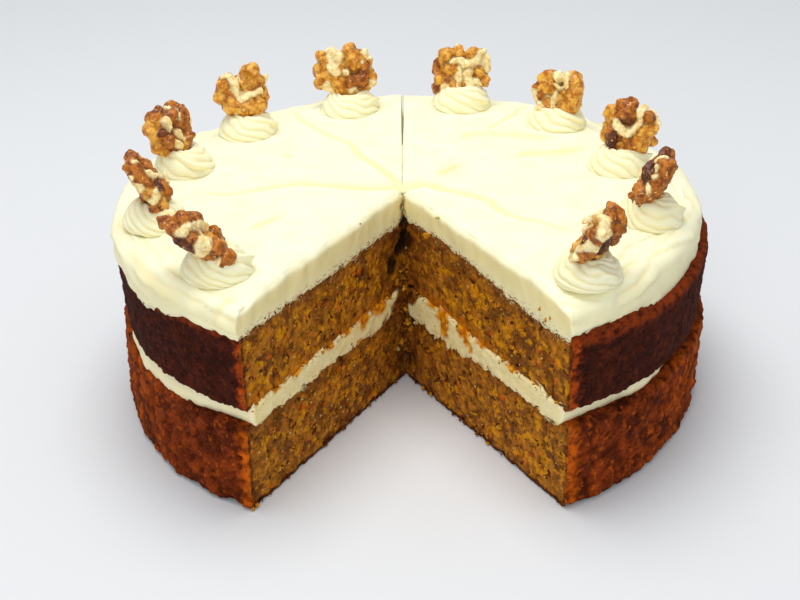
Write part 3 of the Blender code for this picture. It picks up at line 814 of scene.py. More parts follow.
def marks_relief(flat):
    """Height of the knife's and the spreader's marks at each place on the plan, and how much painted shade
    falls on each place in them, from 0 to 1."""
    relief, valley_shade = np.zeros(len(flat)), np.zeros(len(flat))
    for points, outer_width, inner_width, outer, inner in KNIFE_LINES:
        signed, along = line_distance(flat, smooth_path(np.array(points, float) * MM))
        signed += 0.6 * MM * lumps(np.column_stack([flat, 0 * along]), 6 * MM, 51)
        if points[0][0] > points[-1][0]:
            signed = -signed
        wide = (outer_width + (inner_width - outer_width) * along**1.5) * MM
        depth = (outer + (inner - outer) * along**1.5) * MM
        fade = ease_between(along, -0.05, 0.12) * ease_between(along, 1.15, 0.95)
        slope = ease_between(signed, -0.8 * MM, 0.6 * MM) * (1 - np.clip(signed / wide, 0, 1)) ** 1.2
        shoulder = 0.25 * np.exp(-(((signed + 2.2 * MM) / (1.6 * MM)) ** 2))
        relief += depth * fade * (shoulder - slope)
        # Painted shade over the slope behind the lip and in a thin line where the lip's shadow ends.
        mark_shade = 0.62 * ease_between(signed, -0.6 * MM, 0.4 * MM) * ease_between(signed, 1.1 * wide, 0.5 * wide)
        mark_shade += 0.38 * np.exp(-(((signed - 2.0 * depth) / (1.1 * MM)) ** 2))
        valley_shade = np.maximum(valley_shade, fade * mark_shade * (0.6 + 0.3 * along))
    for points, width, depth in SPREAD_LINES:
        signed, along = line_distance(flat, smooth_path(np.array(points, float) * MM))
        width, depth = width * MM, depth * MM
        fade = ease_between(along, -0.1, 0.25) * ease_between(along, 1.1, 0.75)
        terrace = np.tanh(signed / width) * np.exp(-((signed / (5 * width)) ** 2))
        relief += depth * fade * terrace
        # Painted shade along the spreader's step.
        valley_shade = np.maximum(valley_shade, 0.7 * fade * np.exp(-((signed / width) ** 2)))
    return relief, valley_shade


def frosting_angles():
    """Columns round the frosting, closer together at the slit and the knife's marks."""
    base = even_angles(CAKE_RADIUS, 1.15 * MM)
    extra = []
    for degrees in (-30, 59, 117, 176):
        extra.append(np.radians(degrees) + np.radians(np.arange(-2.5, 2.5, 0.2)))
    for cut, side in ((RIGHT_CUT, 1), (LEFT_CUT, -1)):
        extra.append(cut + side * np.radians((0.12, 0.26, 0.42, 0.6, 0.8, 1.05, 1.35, 1.7)))
    slit = SLIT_HALF * np.array((-4, -3, -2.2, -1.6, -1.25, -1.05, -0.8, 0, 0.8, 1.05, 1.25, 1.6, 2.2, 3, 4))
    merged = np.sort(np.concatenate([base, *extra]))
    merged = merged[np.abs(merged - SLIT_ANGLE) > 4.6 * SLIT_HALF]
    merged = np.sort(np.concatenate([merged, SLIT_ANGLE + slit]))
    spaced = np.concatenate([[True], np.diff(merged) > math.radians(0.03)])
    merged = merged[spaced]
    merged[-1] = LEFT_CUT
    return merged


def frosting_levels(angles, low, high):
    """The upright side, then the roll over into the top."""
    reach = rim_reach(angles, FROSTING_RIM)
    around = np.column_stack([np.cos(angles), np.sin(angles), np.zeros(len(angles))]) * CAKE_RADIUS
    drape = 0.9 * MM * rough_lumps(around, 30 * MM, 21) + 0.45 * MM * lumps(around, 8 * MM, 22)
    roll = 6.0 * MM
    levels = []
    drape = drape - 2.4 * MM * ease_between(np.abs(angles - math.radians(-45)), 0.40, 0.15)
    for height in np.linspace(low, high - roll, 12)[:-1]:
        share = (height - low) / (high - roll - low)
        levels.append((height, reach + drape * share - 1.2 * MM * (1 - share) ** 2))
    for turn in np.linspace(0, math.pi / 2, 12):
        inset = roll * (1 - math.cos(turn))
        levels.append((high - roll * (1 - math.sin(turn)), reach + drape - inset))
    return levels


def frosting_drop(grid, flat):
    """How much lower the top lies near the rim and at the front right corner."""
    from_rim = (1 - grid.share) * CAKE_RADIUS
    sag = 1.6 * MM * ease_between(from_rim, 14 * MM, 0.0)
    corner = TIP + CAKE_RADIUS * np.array((math.cos(RIGHT_CUT), math.sin(RIGHT_CUT)))
    away = np.hypot(*(flat - corner).T)
    return sag + 2.0 * MM * ease_between(away, 30 * MM, 2 * MM)


def lean_lips(places, up):
    """Pushes the top of each cut face in and out a little, so that the lip runs in shallow waves."""
    flat = places[:, :2].copy()
    for cut, side in ((RIGHT_CUT, 1), (LEFT_CUT, -1)):
        inward = side * np.array((-math.sin(cut), math.cos(cut)))
        along = (flat - TIP) @ np.array((math.cos(cut), math.sin(cut)))
        row = np.column_stack([along, np.full(len(along), side), 0 * along])
        wave = 1.1 * lumps(row, 12 * MM, 63) + 0.4 * lumps(row, 5 * MM, 64)
        near = ease_between((flat - TIP) @ inward, 9 * MM, 0.0) * (along > 0)
        ends = ease_between(along, 2 * MM, 12 * MM) * ease_between(along, CAKE_RADIUS, 0.9 * CAKE_RADIUS)
        places[:, :2] += inward * (MM * wave * near * ends * ease_between(up, 0.2, 0.9))[:, None]


def round_cut_edges(places, high, radius):
    """Rolls the square edge between the top and each cut face into a soft one."""
    flat = places[:, :2]
    for cut, side in ((RIGHT_CUT, 1), (LEFT_CUT, -1)):
        inward = side * np.array((-math.sin(cut), math.cos(cut)))
        away = (flat - TIP) @ inward
        along = (flat - TIP) @ np.array((math.cos(cut), math.sin(cut)))
        row = np.column_stack([along, np.full(len(along), side), 0 * along])
        soft = radius * (1 + 0.45 * lumps(row, 11 * MM, 61) + 0.15 * lumps(row, 4 * MM, 62))
        below = high - places[:, 2]
        on_face = (np.abs(away) < 0.05 * MM) & (below < soft) & (along > -0.1 * MM)
        on_top = (away >= 0.05 * MM) & (away < soft) & (below < 0.5 * soft) & (along > -0.1 * MM)
        face_turn = np.pi / 4 * (1 - below / soft)
        top_turn = np.pi / 4 * (1 - away / soft)
        inset = np.where(on_face, soft * (1 - np.cos(face_turn)), 0)
        inset = np.where(on_top, soft * (1 - np.sin(top_turn)) - away, inset)
        drop = np.where(on_face, soft * (1 - np.sin(face_turn)) - below, 0)
        drop = np.where(on_top, soft * (1 - np.cos(top_turn)), drop)
        places[:, :2] += inward * inset[:, None]
        places[:, 2] -= drop


def rim_strokes(around, from_rim):
    """The spreader's strokes along the rim, each a step above the next one out: height, and painted shade in the dip
    at each step's foot, 0 to 1.
    """
    row = np.column_stack([around, np.zeros(len(around)), np.zeros(len(around))])
    phase = (from_rim + 4 * MM * lumps(row, 45 * MM, 65)) / (5.6 * MM) + around / (190 * MM)
    phase += 0.5 * lumps(row, 24 * MM, 66) * np.sin(from_rim / (7 * MM))
    saw = phase - np.floor(phase)
    step = np.where(saw < 0.78, 1 - saw / 0.78, (saw - 0.78) / 0.22)
    number = np.floor(phase + 0.22)
    streak = lumps(np.column_stack([around, number * 31 * MM, 0 * around]), 26 * MM, 67)
    shown = ease_between(streak, -0.25, 0.25) * ease_between(from_rim, 17 * MM, 9 * MM)
    crease_shade = np.maximum(ease_between(saw, 0.60, 0.78) * (saw <= 0.78), ease_between(saw, 0.92, 0.78) * (saw > 0.78))
    return step * step * (3 - 2 * step) * shown, crease_shade * shown


def frosting():
    paint = cream_paint("frosting_cream", tone(252, 249, 216), tone(246, 232, 172), 0.25)
    low, high = FROSTING_BOX[0].z - 1.5 * MM, FROSTING_BOX[1].z
    angles = frosting_angles()
    rim_steps = np.linspace(0.93, 1, 14)
    shares = np.concatenate([np.linspace(0, 0.93, 96)[:-1], rim_steps])
    levels = frosting_levels(angles, low, high)
    grid = layer_grid(angles, shares, levels, len(shares) - 2)
    places = grid.places
    flat = places[:, :2].copy()
    up = (places[:, 2] - low) / (high - low)
    round_cut_edges(places, high, 3.0 * MM)
    lean_lips(places, up)
    rise = np.clip(1 - 1.6 * up, 0, 1)
    places[:, 2] += dome(flat) * rise
    level_flat = np.column_stack([flat, np.zeros(len(flat))])
    marks, valley_shade = marks_relief(flat)
    lift = marks + 0.35 * MM * rough_lumps(level_flat, 26 * MM, 31, 2)
    lift += 0.10 * MM * lumps(level_flat, 7 * MM, 33)
    lift -= frosting_drop(grid, flat)
    shown = grid.zone < 3
    hem = ease_between(up, 0.35, 0.0) * shown
    uneven = 1.5 * MM * rough_lumps(level_flat, 11 * MM, 35) + 0.9 * MM * lumps(level_flat, 3.4 * MM, 36)
    uneven += hem_lift(grid.angle) * (grid.zone == 0)
    places[:, 2] += lift * up * shown + uneven * hem
    slit = ease_between(np.abs(grid.angle - SLIT_ANGLE), 1.3 * SLIT_HALF, 0.75 * SLIT_HALF)
    slit *= ease_between(grid.share, 0.02, 0.10) * (grid.zone != 3) * (grid.zone != 1)
    floor = low + 2.2 * MM + 12.0 * MM * ease_between(grid.share, 0.62, 0.45)
    places[:, 2] = np.where(slit > 0, places[:, 2] * (1 - slit) + np.minimum(places[:, 2], floor) * slit, places[:, 2])
    # Painted shade down in the slit.
    valley_shade = np.maximum(valley_shade, 0.8 * slit * ease_between(grid.share, 0.60, 0.45))
    mouth = open_tip(grid, 43)
    normals = face_normals(places, grid.quads, grid.tris)
    on_cut = (grid.zone == 1) * 1.0
    drag = rough_lumps(places * np.array((1.0, 1.0, 0.5)), 5 * MM, 38)
    relief = 0.30 * MM * drag * on_cut + 0.15 * MM * rough_lumps(places, 6 * MM, 39) * (1 - on_cut)
    relief += on_cut * (0.40 * MM - 1.0 * MM * ease_between(up, 0.14, 0.0)) * ease_between(up, 1.0, 0.8)
    from_rim = np.where(grid.zone == 0, (places[:, 2] - high) * 1.2, (1 - grid.share) * CAKE_RADIUS)
    stroke, crease_shade = rim_strokes(grid.angle * CAKE_RADIUS, from_rim)
    relief += 1.0 * MM * stroke * (1 - on_cut)
    places = places + normals * (relief * shown * (1 - mouth))[:, None]
    # Painted shade: the side's roll tinted deeper yellow, and on the cut faces the deeper yellow is strongest just
    # under the lip, as the lip's painted shadow.
    roll_shade = (grid.zone == 0) * ease_between(up, 1.0, 0.6)
    face = ease_between(up, 0.97, 0.72) * (0.55 + 0.45 * ease_between(up, 0.1, 0.6))
    # Painted shade in the dip at each spreader step's foot, and a little on the side's roll.
    hollow_shade = 0.65 * crease_shade + 0.05 * roll_shade
    values = {
        "cut": on_cut * face + 0.40 * roll_shade,
        "valley_shade": np.maximum(valley_shade * up, hollow_shade) * (1 - on_cut),
        "crumbs": on_cut * ease_between(up, 0.36, 0.12) + 0.6 * (grid.zone == 0) * ease_between(up, 0.16, 0.06),
        "browned": np.zeros(len(places)),
    }
    piece = mesh_piece("frosting_cream", places, grid.quads, grid.tris, paint, values)
    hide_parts("frosting")


# ---- swirls and walnuts -----------------------------------------------------------------------------------
SWIRL_HEIGHT = 10.0 * MM
WALNUT_WIDTH = 25.0 * MM
WALNUT_LENGTH = 27.0 * MM
WALNUT_THICKNESS = 11.5 * MM
DEPTH_IN_SWIRL = 6.8 * MM
NOTCH_WIDTH = 0.30

# Each swirl and its walnut: direction round the cake, the way the walnut's flat side faces, the way it
# leans, how far it leans, distance from the middle as a share of the radius, set back, and the walnut's
# notch, width and length.
PORTIONS = (
    (-133.4, 8, 180, 52, 0.870, 6.5, 0.30, 0.95, 1.16),
    (-163.8, 8, 180, 31, 0.867, 5.5, 0.30, 0.95, 1.04),
    (166.2, -35, 175, 16, 0.819, 0.0, 0.20, 0.95, 0.92),
    (138.3, -72, 140, 18, 0.791, 2.0, 0.60, 0.90, 0.97),
    (106.3, -84, 110, 14, 0.781, 0.0, 0.52, 1.05, 0.88),
    (75.6, -92, 78, 14, 0.795, 0.0, 0.34, 1.05, 0.87),
    (45.1, -112, 20, 18, 0.772, 3.0, 0.20, 0.90, 0.80),
    (10.3, -112, 10, 18, 0.736, 1.0, 0.45, 0.90, 0.95),
    (-21.4, 172, 0, 33, 0.816, 6.5, 0.25, 0.92, 1.02),
    (-53.4, 160, 0, 34, 0.877, 6.0, 0.40, 0.92, 1.03),
)

# Swirl profile from the dipped middle out to the foot and under it: millimetres out and up.
SWIRL_PROFILE = (
    (0, 4.6), (1.6, 5.2), (3.0, 7.4), (4.4, 9.3), (6.2, 9.7), (8.2, 8.6), (10.0, 6.5), (11.5, 4.0),
    (12.5, 1.6), (12.7, -0.2), (12.1, -1.6), (10.5, -2.6),
)
STRANDS = 8
SWIRL_TWIST = math.radians(300)


def level(degrees):
    return Vector((math.cos(math.radians(degrees)), math.sin(math.radians(degrees)), 0))


def swirl(node, portion, seed, paint):
    direction, _, leans, _, share, set_back, *_ = portion
    middle = np.array(level(direction) * share * CAKE_RADIUS)
    middle[2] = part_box(node)[0].z
    profile = smooth_path(np.array(SWIRL_PROFILE, float) * MM, 5)
    rows, count = len(profile), 138
    turn = np.tile(np.arange(count) * 2 * math.pi / count, rows)
    along = np.repeat(np.linspace(0, 1, rows), count)
    out, up = (np.repeat(profile[:, axis], count) for axis in (0, 1))
    slope = np.gradient(profile, axis=0)
    slope /= np.linalg.norm(slope, axis=1, keepdims=True)
    tilt_out, tilt_up = np.repeat(-slope[:, 1], count), np.repeat(slope[:, 0], count)
    ring = np.column_stack([np.cos(turn), np.sin(turn), along * 2])
    bend = 0.50 * lumps(ring, 0.8, seed) + 0.18 * np.sin(turn + seed)
    phase = STRANDS / 2 * (turn - SWIRL_TWIST * (along - 0.15) + bend)
    strand = np.abs(np.cos(phase))
    strong = ease_between(along, 0.04, 0.30) * ease_between(along, 1.02, 0.86)
    size = 1 + 0.35 * lumps(np.column_stack([np.floor(phase / math.pi + 0.5), along * 0, along * 0]), 1.7, seed)
    push = 0.85 * MM * (strand**0.7 - 0.75) * strong * size
    lopsided = 1 + 0.05 * np.cos(turn - seed * 2.1) + 0.03 * np.cos(2 * turn + seed)
    tail_turn = math.radians(-25 + 30 * math.sin(seed * 1.7))
    gap = (turn - tail_turn - 3.5 * (along - 0.62) + math.pi) % (2 * math.pi) - math.pi
    tail = np.exp(-((gap / 0.16) ** 2)) * np.exp(-(((along - 0.62) / 0.10) ** 2))
    radius = out * lopsided + tilt_out * push + 2.2 * MM * tail
    squat = 0.92 + 0.08 * math.sin(seed * 2.3)
    height = up * (squat + 0.05 * np.cos(turn + seed)) + tilt_up * push + 0.9 * MM * tail
    places = middle + np.column_stack([radius * np.cos(turn), radius * np.sin(turn), height])
    places += 0.10 * MM * lumps(places, 2.2 * MM, seed + 5)[:, None]
    here = np.arange(rows - 1)[:, None] * count + np.arange(count)
    there = np.arange(rows - 1)[:, None] * count + (np.arange(count) + 1) % count
    quads = np.stack([here, here + count, there + count, there], axis=2).reshape(-1, 4)[count:]
    inner, outer = np.arange(count) + count, np.arange(count) + (rows - 1) * count
    top, under = len(places), len(places) + 1
    places = np.vstack([places, places[:count].mean(axis=0), middle - (0, 0, 2.6 * MM)])
    tris = np.concatenate([fan(inner, top), fan(outer[::-1], under)])
    # Painted shade: the dips between the piped strands tinted deeper yellow, in both tint values.
    valley_shade = np.clip(1 - strand, 0, 1) ** 2 * strong
    values = {
        "cut": np.append(0.12 + 0.4 * valley_shade, (0.3, 0)),
        "valley_shade": np.append(0.35 * valley_shade**2, (0, 0)),
        "crumbs": np.zeros(len(places)),
        "browned": np.zeros(len(places)),
    }
    keep = np.arange(count, len(places))
    moved = np.full(len(places), -1)
    moved[keep] = np.arange(len(keep))
    values = {key: numbers[keep] for key, numbers in values.items()}
    piece = mesh_piece(f"{node}_cream", places[keep], moved[quads], moved[tris], paint, values)
    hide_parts(node)


# Kinds of walnut surface: bare flesh, brown skin, amber skin and dark skin.
FLESH, BROWN, AMBER, DARK = range(4)

# What shows on each walnut from the front: the kind, the radius in millimetres and a path of points in
# millimetres across and up from its middle.
WALNUT_SIGHTS = (
    (
        (BROWN, 2.8, (-11.5, 6)),
        (BROWN, 3.2, (-5, 6), (-1.5, 6.5)),
        (BROWN, 2.6, (5, 3)),
        (FLESH, 1.5, (-4, 1.5), (-3, 3.5), (-0.5, 4.5), (2, 4)),
        (FLESH, 2.6, (1.5, -1.5), (3.5, -2.5)),
        (BROWN, 2.2, (-1, 0)),
        (BROWN, 3.4, (7, -3.5)),
        (BROWN, 3.6, (10, -7.5)),
        (FLESH, 1.2, (7, -8.5), (8.5, -7.5)),
        (DARK, 1.8, (-4, -1.5), (-2, -2.5)),
    ),
    (
        (BROWN, 2, (-6.5, 10.5)),
        (BROWN, 2.4, (-4, 8.5)),
        (BROWN, 2.4, (-6, 6)),
        (BROWN, 2.2, (0.5, 6.5)),
        (FLESH, 1.4, (-3.5, 6.5)),
        (BROWN, 2.2, (-3, 4)),
        (FLESH, 1.2, (1.5, 3.0), (4.0, 1.5)),
        (FLESH, 1.5, (-2.2, -1.6), (-1.2, -3)),
        (FLESH, 0.9, (-4, 1.5)),
        (BROWN, 2.0, (-1.2, 1.2)),
        (BROWN, 1.6, (1.5, -1.0)),
        (AMBER, 1.8, (1, -4.5)),
        (FLESH, 1.1, (3.5, -4), (4, -6.5), (2.5, -7.5)),
        (BROWN, 2.4, (5.5, -1.0), (7, -3.5)),
        (DARK, 1.2, (4.0, 0.5), (5.0, -2.0)),
        (FLESH, 1.2, (5.5, 3.5), (6, -0.5)),
        (BROWN, 2.2, (2.5, -10)),
    ),
    (
        (BROWN, 2.4, (-4, 8.5)),
        (DARK, 1.2, (-3.5, 9.5), (-5.5, 7.5)),
        (FLESH, 1.8, (-1, 9.5)),
        (BROWN, 3, (0.5, 6)),
        (BROWN, 2.6, (-7.5, 5)),
        (FLESH, 1.7, (-1, 4), (0, 1.5)),
        (AMBER, 3.6, (-7.5, 0.5)),
        (DARK, 1.6, (-2.5, -1)),
        (FLESH, 1.3, (3, 0), (5, -3)),
        (FLESH, 1.5, (1.5, -4.5), (3.5, -6)),
        (BROWN, 2.6, (6.5, -1)),
        (FLESH, 1.2, (-9, -1)),
        (FLESH, 1.2, (-7.5, -5)),
        (AMBER, 3.2, (-5, -6.5)),
        (BROWN, 3.2, (-1, -4)),
        (AMBER, 2, (5, -5.5)),
    ),
    (
        (FLESH, 1.5, (-5, 8), (-3, 5), (-2, 1.5), (0, -1.5), (4, 0), (7.5, 2)),
        (FLESH, 1.2, (9, 5), (9.5, 8.5)),
        (AMBER, 3.8, (4, 10.5), (5, 7)),
        (FLESH, 1.6, (3.6, 12.0)),
        (FLESH, 1.1, (-9.5, 1.5)),
        (AMBER, 3.0, (-8.5, 3.5)),
        (FLESH, 1.3, (-7, 8)),
        (AMBER, 3.0, (-9, -0.5)),
        (FLESH, 1, (-10, -2.5)),
        (AMBER, 3.6, (-5, -4.5), (1.5, -5.5), (7, -4)),
        (FLESH, 0.9, (-7.5, -5.5), (-7, -6)),
        (FLESH, 0.9, (-2, -8), (-1, -7.5)),
    ),
    (
        (FLESH, 2.6, (-7.5, 10), (-4.5, 8)),
        (AMBER, 2.8, (-11, 8)),
        (AMBER, 3.6, (-12, 2.5)),
        (FLESH, 1.4, (-7, 2), (-4.5, 0)),
        (AMBER, 3.8, (1, 10), (3, 5)),
        (FLESH, 1.5, (4, 7), (5.5, 5)),
        (FLESH, 1.4, (-0.5, 0)),
        (AMBER, 3.2, (-4, -3.5)),
        (BROWN, 3.2, (2, -3), (7, -1.5)),
        (AMBER, 2.8, (-12.5, -3)),
        (FLESH, 1.0, (-12, -1)),
        (BROWN, 2.8, (7.5, 2)),
    ),
    (
        (AMBER, 3.2, (-7, 6.5)),
        (FLESH, 1.6, (-1, 9.5)),
        (AMBER, 2.8, (-0.5, 8)),
        (FLESH, 1.8, (-4.5, 3), (-0.5, 4), (3, 2.5), (7, 4), (8, 7), (10, 8)),
        (AMBER, 2.6, (5.5, 7)),
        (AMBER, 3.2, (-4.5, 0.5)),
        (FLESH, 1.6, (-1, 0), (-1.5, -4.5), (-1, -8.5)),
        (FLESH, 2.6, (3, -2), (3.5, -8)),
        (FLESH, 2.0, (11, 5), (11.5, 0.5)),
        (AMBER, 2.8, (8, -1.5)),
        (FLESH, 1.4, (6, -5), (8.5, -6)),
        (AMBER, 2.8, (10, -4.5)),
        (FLESH, 1.8, (-7, -6.5), (-8, -9.5)),
        (AMBER, 2.8, (-9.5, -3.5)),
        (BROWN, 2.2, (-11, -7.5)),
    ),
    (
        (FLESH, 2.4, (0, 7)),
        (FLESH, 2.0, (4, 6), (3.5, 3)),
        (FLESH, 1.7, (-0.5, 2.5)),
        (FLESH, 1.4, (-2, -0.5), (-2.5, -4), (-2, -8)),
        (FLESH, 2.0, (-7.5, -4.5), (-8, -6.5)),
        (AMBER, 3.4, (-4, 3)),
        (AMBER, 3.8, (6.5, 6), (7, 0), (4.5, -5.5)),
        (FLESH, 1.1, (9.5, 6), (10, 3)),
    ),
    (
        (BROWN, 3.6, (0.5, 9.5), (-1, 6.5)),
        (DARK, 2, (-1.5, 4)),
        (FLESH, 1.6, (-5, 2), (-3, -0.5), (-0.5, -1.5), (2.5, 0), (4, 3), (4, 6.5), (7, 8)),
        (BROWN, 2.6, (7, 4)),
        (FLESH, 1.6, (10, 6.5), (10.5, 3), (9.5, 0)),
        (AMBER, 3.8, (7, -1.5), (4, -5.5)),
        (DARK, 2.6, (-6, -2.5), (-6.5, -5.0)),
        (FLESH, 1.4, (-3, -8.5)),
        (AMBER, 2.2, (9.5, -4.5)),
        (BROWN, 2.6, (0.5, -6.5)),
    ),
    (
        (DARK, 1.9, (4.5, 11.0), (2.5, 9.0)),
        (FLESH, 0.8, (6, 11)),
        (FLESH, 1.2, (0.5, 7), (3.5, 8)),
        (DARK, 2.0, (-1.0, 6), (-2.5, 3), (-3.5, 0.5)),
        (FLESH, 1, (0, 4), (1.5, 5)),
        (BROWN, 2.4, (2.5, 5)),
        (FLESH, 1, (-1, 1)),
        (BROWN, 2.6, (-5.5, -3.5), (-5, -6.5)),
        (FLESH, 1.4, (-3, -2.5), (-4, -6)),
        (BROWN, 2.2, (-0.5, -2)),
    ),
    (
        (FLESH, 1.4, (-4, 5), (-2.5, 6.5), (1, 5.5), (1.5, 3)),
        (AMBER, 1.4, (-1, 5)),
        (FLESH, 1.5, (1, 1.5), (0.5, 0)),
        (BROWN, 1.4, (-1.5, 1.0)),
        (BROWN, 1.3, (-1.0, -2.0)),
        (BROWN, 3.2, (5, 8.5), (7, 5), (6, 0)),
        (FLESH, 0.8, (9.5, 8), (10, 6)),
        (DARK, 1.6, (3, -2), (1.5, -5)),
        (FLESH, 1.5, (-3, -3.5), (-5.5, -4.5)),
        (BROWN, 1.6, (-5, -6.5)),
        (DARK, 1.2, (-5.5, -1.5)),
        (FLESH, 1.6, (-7, -8), (-7.5, -7)),
        (BROWN, 2, (-6, -8.5)),
        (BROWN, 1.4, (4, -4.5)),
    ),
)

# The front, as seen from a little above: across, up and towards the viewer.
FRONT_TILT = math.radians(27.4)
FRONT = np.array(
    (
        (1, 0, 0),
        (0, math.sin(FRONT_TILT), math.cos(FRONT_TILT)),
        (0, -math.cos(FRONT_TILT), math.sin(FRONT_TILT)),
    )
)


def walnut_frame(portion, base):
    """The walnut's turn as a matrix, its middle and its half sizes across, through and along."""
    direction, faces, leans, lean, share, set_back, _, wide, long = portion
    half = Vector((WALNUT_WIDTH * wide / 2, WALNUT_THICKNESS * 0.45, WALNUT_LENGTH * long / 2))
    turn = Matrix.Rotation(math.radians(lean), 3, level(leans + 90))
    turn = turn @ Matrix.Rotation(math.radians(faces + 90), 3, "Z")
    foot = level(direction) * share * CAKE_RADIUS + Vector((0, 0, base))
    rise = turn @ Vector((0, 0, 1))
    middle = foot + Vector((0, 0, SWIRL_HEIGHT - DEPTH_IN_SWIRL)) - level(leans) * set_back * MM
    return np.array(turn), np.array(middle + rise * half.z), np.array(half)


def walnut_outline(from_top, notch, seed):
    """Share of the half size at each turn from the top: two lobes with a notch between them."""
    wave = 1 + 0.05 * math.sin(5 * from_top + seed) + 0.04 * math.sin(9 * from_top + 1.7 * seed)
    return (wave + 0.10 * math.cos(from_top)) * (1 - notch * math.exp(-((from_top / NOTCH_WIDTH) ** 2)))


# Rings of plain ridges: how many, distance out as a share, depth through and radius in millimetres.
RIDGE_RINGS = ((11, 0.80, 0.0, 2.2), (9, 0.60, 2.4, 2.3), (5, 0.30, 3.2, 2.3), (8, 0.58, -2.2, 2.0), (3, 0.26, -2.4, 1.8))


def body_lobes(half):
    """The solid core: two lobes side by side and a broad foot, as kind, place and radii."""
    wide, _, tall = half
    core = [(BROWN, (0, 0, -0.26 * tall), (0.84 * wide, 3.9 * MM, 0.62 * tall))]
    for side in (-1, 1):
        core.append((BROWN, (side * 0.42 * wide, 0.3 * MM, 0.12 * tall), (0.48 * wide, 3.9 * MM, 0.80 * tall)))
    return [(kind, np.array(place), np.array(size)) for kind, place, size in core]


def plain_ridges(half, notch, toward, seed):
    """Short winding ridges round the rim, over the domed back and over the flat side, but few where the
    front shows. Each is a run of lobes: kind, place and radii, in metres in the walnut's own frame."""
    draw = np.random.default_rng(seed)
    lobes = []
    gap = NOTCH_WIDTH * 1.1 if notch > 0.3 else 0
    for count, reach, depth, radius in RIDGE_RINGS:
        for number in range(count):
            from_top = 2 * math.pi * (number + 0.5 + draw.uniform(-0.25, 0.25)) / count
            from_top = (from_top + math.pi) % (2 * math.pi) - math.pi
            heading = draw.uniform(-1.2, 1.2)
            size = radius * MM * draw.uniform(0.8, 1.2)
            kind = draw.choice((BROWN, BROWN, AMBER, AMBER, FLESH))
            for step in (-1, -0.33, 0.33, 1):
                turned = from_top + 0.22 * step * math.cos(heading) / max(reach, 0.3)
                share = reach + 0.10 * step * math.sin(heading) + 0.03 * math.sin(3 * step + seed)
                out = walnut_outline(turned, notch, seed) * share
                place = np.array((math.sin(turned) * out * half[0], depth * MM, math.cos(turned) * out * half[2]))
                place[1] += 0.5 * MM * math.sin(2 * step + number)
                if abs(turned) > gap and place @ toward < 1.5 * MM:
                    lobes.append((kind, place, np.full(3, size * (1.08 - 0.2 * step**2))))
    return lobes


def sight_lobes(sights, turn, half):
    """The lobes that show from the front, set into the walnut's own blunt shape, in its own frame."""
    lobes = []
    across, rise, toward = (turn.T @ axis for axis in FRONT)
    depths = np.arange(-12, 12, 0.25) * MM
    for kind, radius, *points in sights:
        radius *= MM
        path = np.array(points, float)
        if len(path) > 1:
            path = smooth_path(path, 4)
        for x, y in path * MM:
            start = across * x + rise * y
            shares = np.abs((start + depths[:, None] * toward) / (half * 0.88))
            level_of = (shares**3.5).sum(axis=1)
            inside = depths[level_of < 1]
            depth = inside.max() if len(inside) else depths[level_of.argmin()]
            place = start + toward * (depth - 0.62 * radius)
            lobes.append((kind, place, np.full(3, radius)))
            if radius > 2 * MM:
                lobes.append((kind, place - toward * radius * 0.8, np.full(3, radius * 0.95)))
    return lobes


def one_skin(lobes, grain):
    """A single closed skin round overlapping ellipsoids, as places and quads."""
    bm = bmesh.new()
    for _, place, size in lobes:
        matrix = Matrix.Translation(place) @ Matrix.Diagonal((*size, 1))
        bmesh.ops.create_icosphere(bm, subdivisions=2 if max(size) < 5 * MM else 4, radius=1, matrix=matrix)
    mesh = bpy.data.meshes.new("lobes")
    bm.to_mesh(mesh)
    bm.free()
    rough = bpy.data.objects.new("lobes", mesh)
    bpy.context.scene.collection.objects.link(rough)
    remesh = rough.modifiers.new("skin", "REMESH")
    remesh.mode = "VOXEL"
    remesh.voxel_size = grain
    bpy.context.view_layer.update()
    made = rough.evaluated_get(bpy.context.evaluated_depsgraph_get()).to_mesh()
    places = np.zeros(len(made.vertices) * 3)
    made.vertices.foreach_get("co", places)
    corners = np.zeros(len(made.loops), int)
    made.loops.foreach_get("vertex_index", corners)
    bpy.data.objects.remove(rough)
    bpy.data.meshes.remove(mesh)
    return places.reshape(-1, 3), corners.reshape(-1, 4)


def relaxed(places, quads, rounds):
    """Each place drawn towards its neighbours' mean, several times."""
    ends = np.concatenate([quads, np.roll(quads, -1, axis=1)]).reshape(-1)
    starts = np.concatenate([np.roll(quads, -1, axis=1), quads]).reshape(-1)
    count = np.bincount(starts, minlength=len(places))[:, None]
    for _ in range(rounds):
        total = np.zeros_like(places)
        for axis in range(places.shape[1]):
            total[:, axis] = np.bincount(starts, places[ends, axis], minlength=len(places))
        places = places * 0.4 + 0.6 * total / count
    return places


